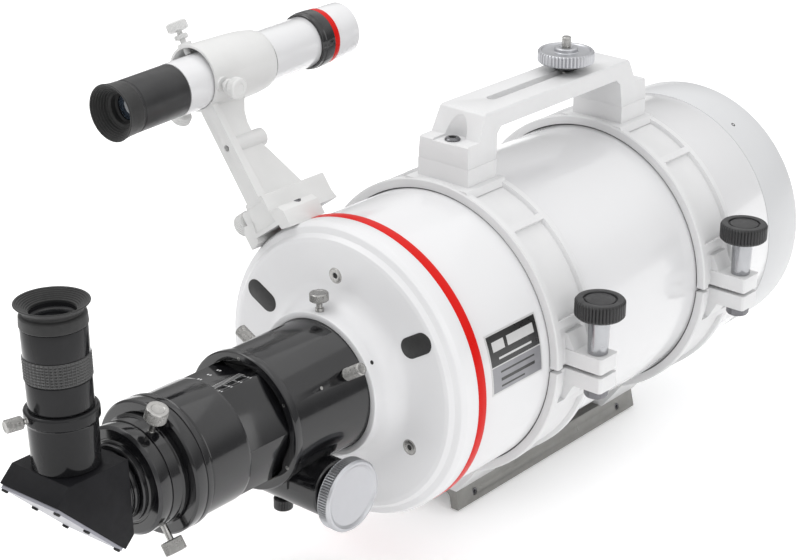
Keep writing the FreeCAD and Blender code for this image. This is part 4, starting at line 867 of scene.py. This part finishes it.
def studs(th, r, h):
    if r > 16.95:
        u = (th * ncol / (2 * math.pi)) % 1.0
        v = ((h - 74.5) / 1.6) % 1.0
        k = min(1 - abs(2 * u - 1), 1 - abs(2 * v - 1))
        return r + 0.72 * min(1.0, max(0.0, k - 0.12) * 1.6), h
    return r, h


lathe_bm(bm, p, "Z", ncol * 6, studs)
finish_mesh("studded_grip", bm, "eyepiece", M["grip"], EP, 24.0)
# folding eyecup, with ribs inside its flare
rim = [(15.6, 103.15), (17.3, 103.15, 0.3), (17.65, 103.7, 0.3), (17.3, 108.8, 0.4), (16.6, 109.5, 0.3), (15.5, 109.9, 0.3),
       (15.3, 110.8, 0.4), (16.6, 112.3, 0.5), (18.9, 114.2, 0.5), (19.6, 115.0, 0.3), (19.2, 115.5, 0.2),
       (18.3, 115.1, 0.2)]
r, z = 18.3, 115.1
steps = []
for k in range(6):
    steps += [(r - 0.15, z - 0.55, 0.1), (r - 0.85, z - 0.45, 0.1)]
    r -= 1.0
    z -= 0.72
rim += steps + [(12.2, 110.6, 0.2), (12.2, 109.6, 0)]
lathe("rubber_eyecup", rim, "eyepiece", M["rubber"], axis="Z", seg=160, rad=0.2, M4=EP, replaces=("eyepiece_eyecup",))
lathe("eye_lens", [(0, 104.9), (4.0, 104.6), (7.0, 104.0), (9.6, 103.1), (9.6, 100.5), (0, 100.5)], "eyepiece",
      M["lens"], axis="Z", seg=96, rad=0.0, M4=EP, replaces=("eyepiece_lenses",))
lathe("lens_retainer", [(9.6, 106.6), (12.1, 106.6), (12.1, 107.6), (10.6, 107.2), (9.6, 105.2)], "eyepiece",
      M["satin"], axis="Z", seg=96, rad=0.1, M4=EP)

# ------------------------------------------------------------------ finder shoe and bracket
from_node("finder_shoe_casting", "finder_shoe", 0.5, M["finder_cast"], angle=28, seg=2)
from_node("finder_bracket_casting", "finder_bracket", 0.7, M["finder_cast"], angle=28, seg=2)
SL = FINDER @ T(0, -5.5, 107.0) @ RY(-90.0)
pts = [(0, 9.0), (1.8, 9.0), (2.2, 9.4), (2.2, 21.0), (3.2, 21.0), (3.2, 23.0), (6.2, 23.0), (7.15, 24.0),
       (7.15, 31.2), (6.2, 32.3), (3.6, 32.3), (3.2, 31.8), (0, 31.8)]
p = split(soften(pts, 0.2, 2), 23.9, 31.3, 8)
bm = bmesh.new()
lathe_bm(bm, p, "Z", 40 * 6, straight(40, 0.35, 7.15, 0.1, 24.0, 31.2, 0.6))
finish_mesh("shoe_thumb_knob", bm, "shoe_lock", M["finder_cast"], SL, 35.0, ("shoe_lock_screw",))
for nm, a, t in (("top", 120.0, 14.55), ("right", 0.0, 17.75), ("lower", 240.0, 17.35)):
    Mx = radial(a, -13.0, FCX, FCZ)
    body = "finder_screw_" + nm
    pts = [(0, t), (1.5, t), (1.85, t + 0.4), (1.85, 24.4)]
    z = 24.5
    pts = [(0, t), (1.5, t), (1.85, t + 0.4), (1.85, 27.3), (1.6, 27.5), (1.85, 27.8), (1.6, 28.1), (1.85, 28.4),
           (1.6, 28.7), (1.85, 29.0), (1.85, 29.6), (5.7, 29.6, 0.3), (6.45, 30.5, 0.3), (6.45, 34.3, 0.4),
           (5.6, 35.2, 0.3), (3.4, 35.2, 0.2), (3.1, 34.8, 0.1), (0, 34.8)]
    p = split(soften(pts, 0.08, 2), 30.3, 34.5, 6)
    bm = bmesh.new()
    lathe_bm(bm, p, "Z", 40 * 6, straight(40, 0.35, 6.45, 0.1, 30.6, 34.2, 0.6))
    finish_mesh("finder_knurled_screw_" + nm, bm, body, M["finder_cast"], Mx, 35.0, ("finder_screw_" + nm,))
    bm = bmesh.new()
    lathe_bm(bm, split(soften([(1.9, 24.4), (3.7, 24.4), (4.2, 24.9), (4.2, 26.7), (3.7, 27.2), (1.9, 27.2)], 0.12, 2),
                       24.8, 26.8, 3), "Z", 28 * 6, straight(28, 0.3, 4.2, 0.1, 24.8, 26.8, 0.6))
    finish_mesh("finder_lock_nut_" + nm, bm, body, M["finder_cast"], Mx, 35.0)

# ------------------------------------------------------------------ finder tube
TF = dict(M4=TUBE_F, seg=160)
lathe("finder_tube_shell", [(15.0, -36.0), (16.2, -36.0), (16.2, 84.0), (15.0, 84.0)], "finder", M["enamel"], rad=0.15,
      replaces=("finder_tube",), **TF)
lathe("finder_o_ring", [(16.2, 34.9), (17.1, 34.9, 0.5), (17.35, 36.4, 0.8), (17.0, 38.0, 0.5), (16.2, 38.0)],
      "finder", M["rubber"], rad=0.3, replaces=("finder_oring",), **TF)
lathe("finder_barrel",
      [(13.4, -27.0), (15.0, -27.0), (15.0, -36.0), (15.5, -36.0, 0.2), (16.0, -36.5, 0.3), (16.0, -71.6, 0.3),
       (15.5, -72.0, 0), (15.5, -73.0, 0), (15.9, -73.4, 0.2), (15.9, -73.8, 0), (12.4, -73.8, 0), (12.4, -72.0, 0),
       (8.2, -72.0, 0), (8.2, -66.0, 0), (13.4, -62.0, 0)], "finder", M["satin"], rad=0.15,
      replaces=("finder_eyepiece_barrel",), **TF)
cup = [(12.4, -73.8), (15.9, -73.8, 0.2), (16.1, -74.6, 0.3), (16.2, -79.0, 1.0), (16.9, -84.2, 0.8), (17.3, -85.6, 0.3),
       (16.9, -86.0, 0.2), (16.3, -85.7, 0.1)]
r, y = 16.3, -85.7
for k in range(6):
    cup += [(r - 0.12, y + 0.95, 0.1), (r - 0.75, y + 0.85, 0.1)]
    r -= 0.86
    y += 1.35
cup += [(10.8, -77.2, 0.2), (9.4, -76.2, 0.2), (9.4, -73.0, 0), (8.4, -72.0, 0), (12.4, -72.0, 0)]
lathe("finder_rubber_eyecup", cup, "finder", M["rubber"], rad=0.15, **TF)
lathe("finder_eye_lens", [(0, -73.6), (2.5, -73.5), (5.0, -73.0), (7.0, -72.2), (8.2, -71.4), (8.2, -68.5), (0, -68.5)],
      "finder", M["lens"], rad=0.0, replaces=("finder_lenses",), **TF)
lathe("finder_front_lens", [(0, 92.0), (4.0, 92.1), (8.0, 92.6), (12.0, 93.4), (15.3, 94.4), (15.3, 98.4),
                            (12.0, 99.2), (8.0, 99.9), (4.0, 100.3), (0, 100.4)], "finder", M["lens"], rad=0.0, **TF)
lathe("finder_locking_ring",
      [(16.2, 79.2), (17.3, 79.2, 0.2), (17.85, 79.9, 0.3), (17.85, 82.4, 0.2), (18.3, 83.0, 0.3), (18.3, 90.2, 0.3),
       (17.8, 90.9, 0.2), (15.4, 90.9), (15.4, 84.0), (16.2, 84.0)], "finder", M["black"], rad=0.15,
      replaces=("finder_lock_ring",), **TF)
lathe("finder_colour_ring", [(15.6, 90.9), (17.85, 90.9, 0.15), (17.85, 95.3, 0.15), (15.6, 95.3)], "finder", M["red"],
      rad=0.1, **TF)
lathe("finder_hood_shell",
      [(15.4, 95.3), (17.15, 95.3, 0.2), (17.15, 114.8, 0.5), (16.6, 115.3, 0.3), (15.9, 115.3, 0.2), (15.6, 114.6, 0.1),
       (15.6, 101.0), (14.6, 101.0), (14.6, 99.3), (15.4, 99.3)], "finder", [M["enamel"], M["flat_black"]], rad=0.15,
      replaces=("finder_hood",), matfn=lambda r, h, a, b: 1 if r < 15.7 else 0, **TF)

# ------------------------------------------------------------------ optics
lathe("corrector_shell",
      [(r, 336.6 + (232.0 - math.sqrt(232.0 ** 2 - r * r)), 0) for r in [78.4 * i / 24 for i in range(25)]] +
      [(r, 322.9 + (241.0 - math.sqrt(241.0 ** 2 - r * r)), 0) for r in [78.4 * i / 24 for i in range(24, -1, -1)]],
      ROOT, M["glass"], seg=128, rad=0, replaces=("corrector_meniscus",))
lathe("aluminised_spot",
      [(r, 322.5 + (241.0 - math.sqrt(241.0 ** 2 - r * r)), 0) for r in [25.0 * i / 8 for i in range(9)]] +
      [(r, 322.8 + (241.0 - math.sqrt(241.0 ** 2 - r * r)), 0) for r in [25.0 * i / 8 for i in range(8, -1, -1)]],
      ROOT, M["mirror"], seg=96, rad=0)

# ------------------------------------------------------------------ floor, light, camera
bm = bmesh.new()
S = 9.0
vs = [bm.verts.new((x, y, -0.0015)) for x, y in ((-S, -S), (S, -S), (S, S), (-S, S))]
bm.faces.new(vs)
me = bpy.data.meshes.new("floor")
bm.to_mesh(me)
bm.free()
floor = bpy.data.objects.new("floor", me)
bpy.context.scene.collection.objects.link(floor)
floor_mat = material("pale_floor", (0.95, 0.95, 0.95), 0.65, vary=0.004, rvary=0.02, scale=3.0, bump=0.02,
                     bump_scale=300.0)
fb = [n for n in floor_mat.node_tree.nodes if n.type == "BSDF_PRINCIPLED"][0]
fb.inputs["Emission Color"].default_value = (1.0, 1.0, 1.0, 1.0)
fb.inputs["Emission Strength"].default_value = 0.26
me.materials.append(floor_mat)
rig.stage(floor)

world = bpy.data.worlds.new("studio")
bpy.context.scene.world = world
world.use_nodes = True
bg = world.node_tree.nodes["Background"]
bg.inputs["Color"].default_value = (1.0, 1.0, 1.0, 1.0)
bg.inputs["Strength"].default_value = 1.0
wn = world.node_tree
tc = wn.nodes.new("ShaderNodeTexCoord")
sep = wn.nodes.new("ShaderNodeSeparateXYZ")
wn.links.new(tc.outputs["Generated"], sep.inputs[0])
ramp = wn.nodes.new("ShaderNodeMapRange")
ramp.interpolation_type = "SMOOTHSTEP"
ramp.inputs["From Min"].default_value = 0.12
ramp.inputs["From Max"].default_value = 0.62
ramp.inputs["To Min"].default_value = 0.38
ramp.inputs["To Max"].default_value = 1.15
wn.links.new(sep.outputs["Z"], ramp.inputs["Value"])
wn.links.new(ramp.outputs["Result"], bg.inputs["Strength"])
bpy.context.scene.view_settings.view_transform = "Standard"
bpy.context.scene.view_settings.look = "None"


def area(name, loc, target, size, power, size_y=None, color=(1, 1, 1)):
    d = bpy.data.lights.new(name, "AREA")
    d.shape = "RECTANGLE"
    d.size = size
    d.size_y = size_y or size
    d.energy = power
    d.color = color
    o = bpy.data.objects.new(name, d)
    o.location = loc
    o.rotation_mode = "QUATERNION"
    o.rotation_quaternion = (Vector(target) - Vector(loc)).to_track_quat("-Z", "Y")
    bpy.context.scene.collection.objects.link(o)
    return o


area("key", (-1.0, -0.9, 1.9), (0, -0.1, 0.12), 1.1, 9, 1.1)
area("fill", (1.9, -0.6, 1.0), (0, -0.1, 0.12), 1.0, 5.5, 1.4)
area("top", (0.1, 0.3, 2.2), (0, 0, 0.1), 1.6, 4, 1.6)

cam_d = bpy.data.cameras.new("camera")
cam = bpy.data.objects.new("camera", cam_d)
bpy.context.scene.collection.objects.link(cam)
bpy.context.scene.camera = cam
eye = Vector((711.36, -802.93, 510.30))
aim = Vector((98.54, -51.36, 71.05))
row = lambda v: Vector((X_OFF + v.x / 1000, Y_OFF + v.y / 1000, Z_OFF + v.z / 1000))
back = (eye - aim).normalized()
right = (-back).cross(Vector((0, 0, 1))).normalized()
up = right.cross(-back).normalized()
rl = math.radians(0.67)
R2 = right * math.cos(rl) + up * math.sin(rl)
U2 = -right * math.sin(rl) + up * math.cos(rl)
rot = Matrix((R2, U2, back)).transposed()
cam.rotation_mode = "QUATERNION"
cam.rotation_quaternion = rot.to_quaternion()
cam.location = row(eye)
cam_d.sensor_fit = "HORIZONTAL"
cam_d.sensor_width = 36.0
cam_d.lens = 1977.23 * 36.0 / 797.0
cam_d.shift_x = -33.58 / 797.0
cam_d.shift_y = 47.44 / 797.0
cam_d.dof.use_dof = False
cam_d.clip_start = 0.01
cam_d.clip_end = 60.0

BOX_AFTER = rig.bounds()
try:
    with open("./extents.json", "w") as fh:
        fh.write("before %s %s\n" % (tuple(round(v, 6) for v in BOX_BEFORE[0]), tuple(round(v, 6) for v in BOX_BEFORE[1])))
        fh.write("after %s %s\n" % (tuple(round(v, 6) for v in BOX_AFTER[0]), tuple(round(v, 6) for v in BOX_AFTER[1])))
except OSError:
    pass
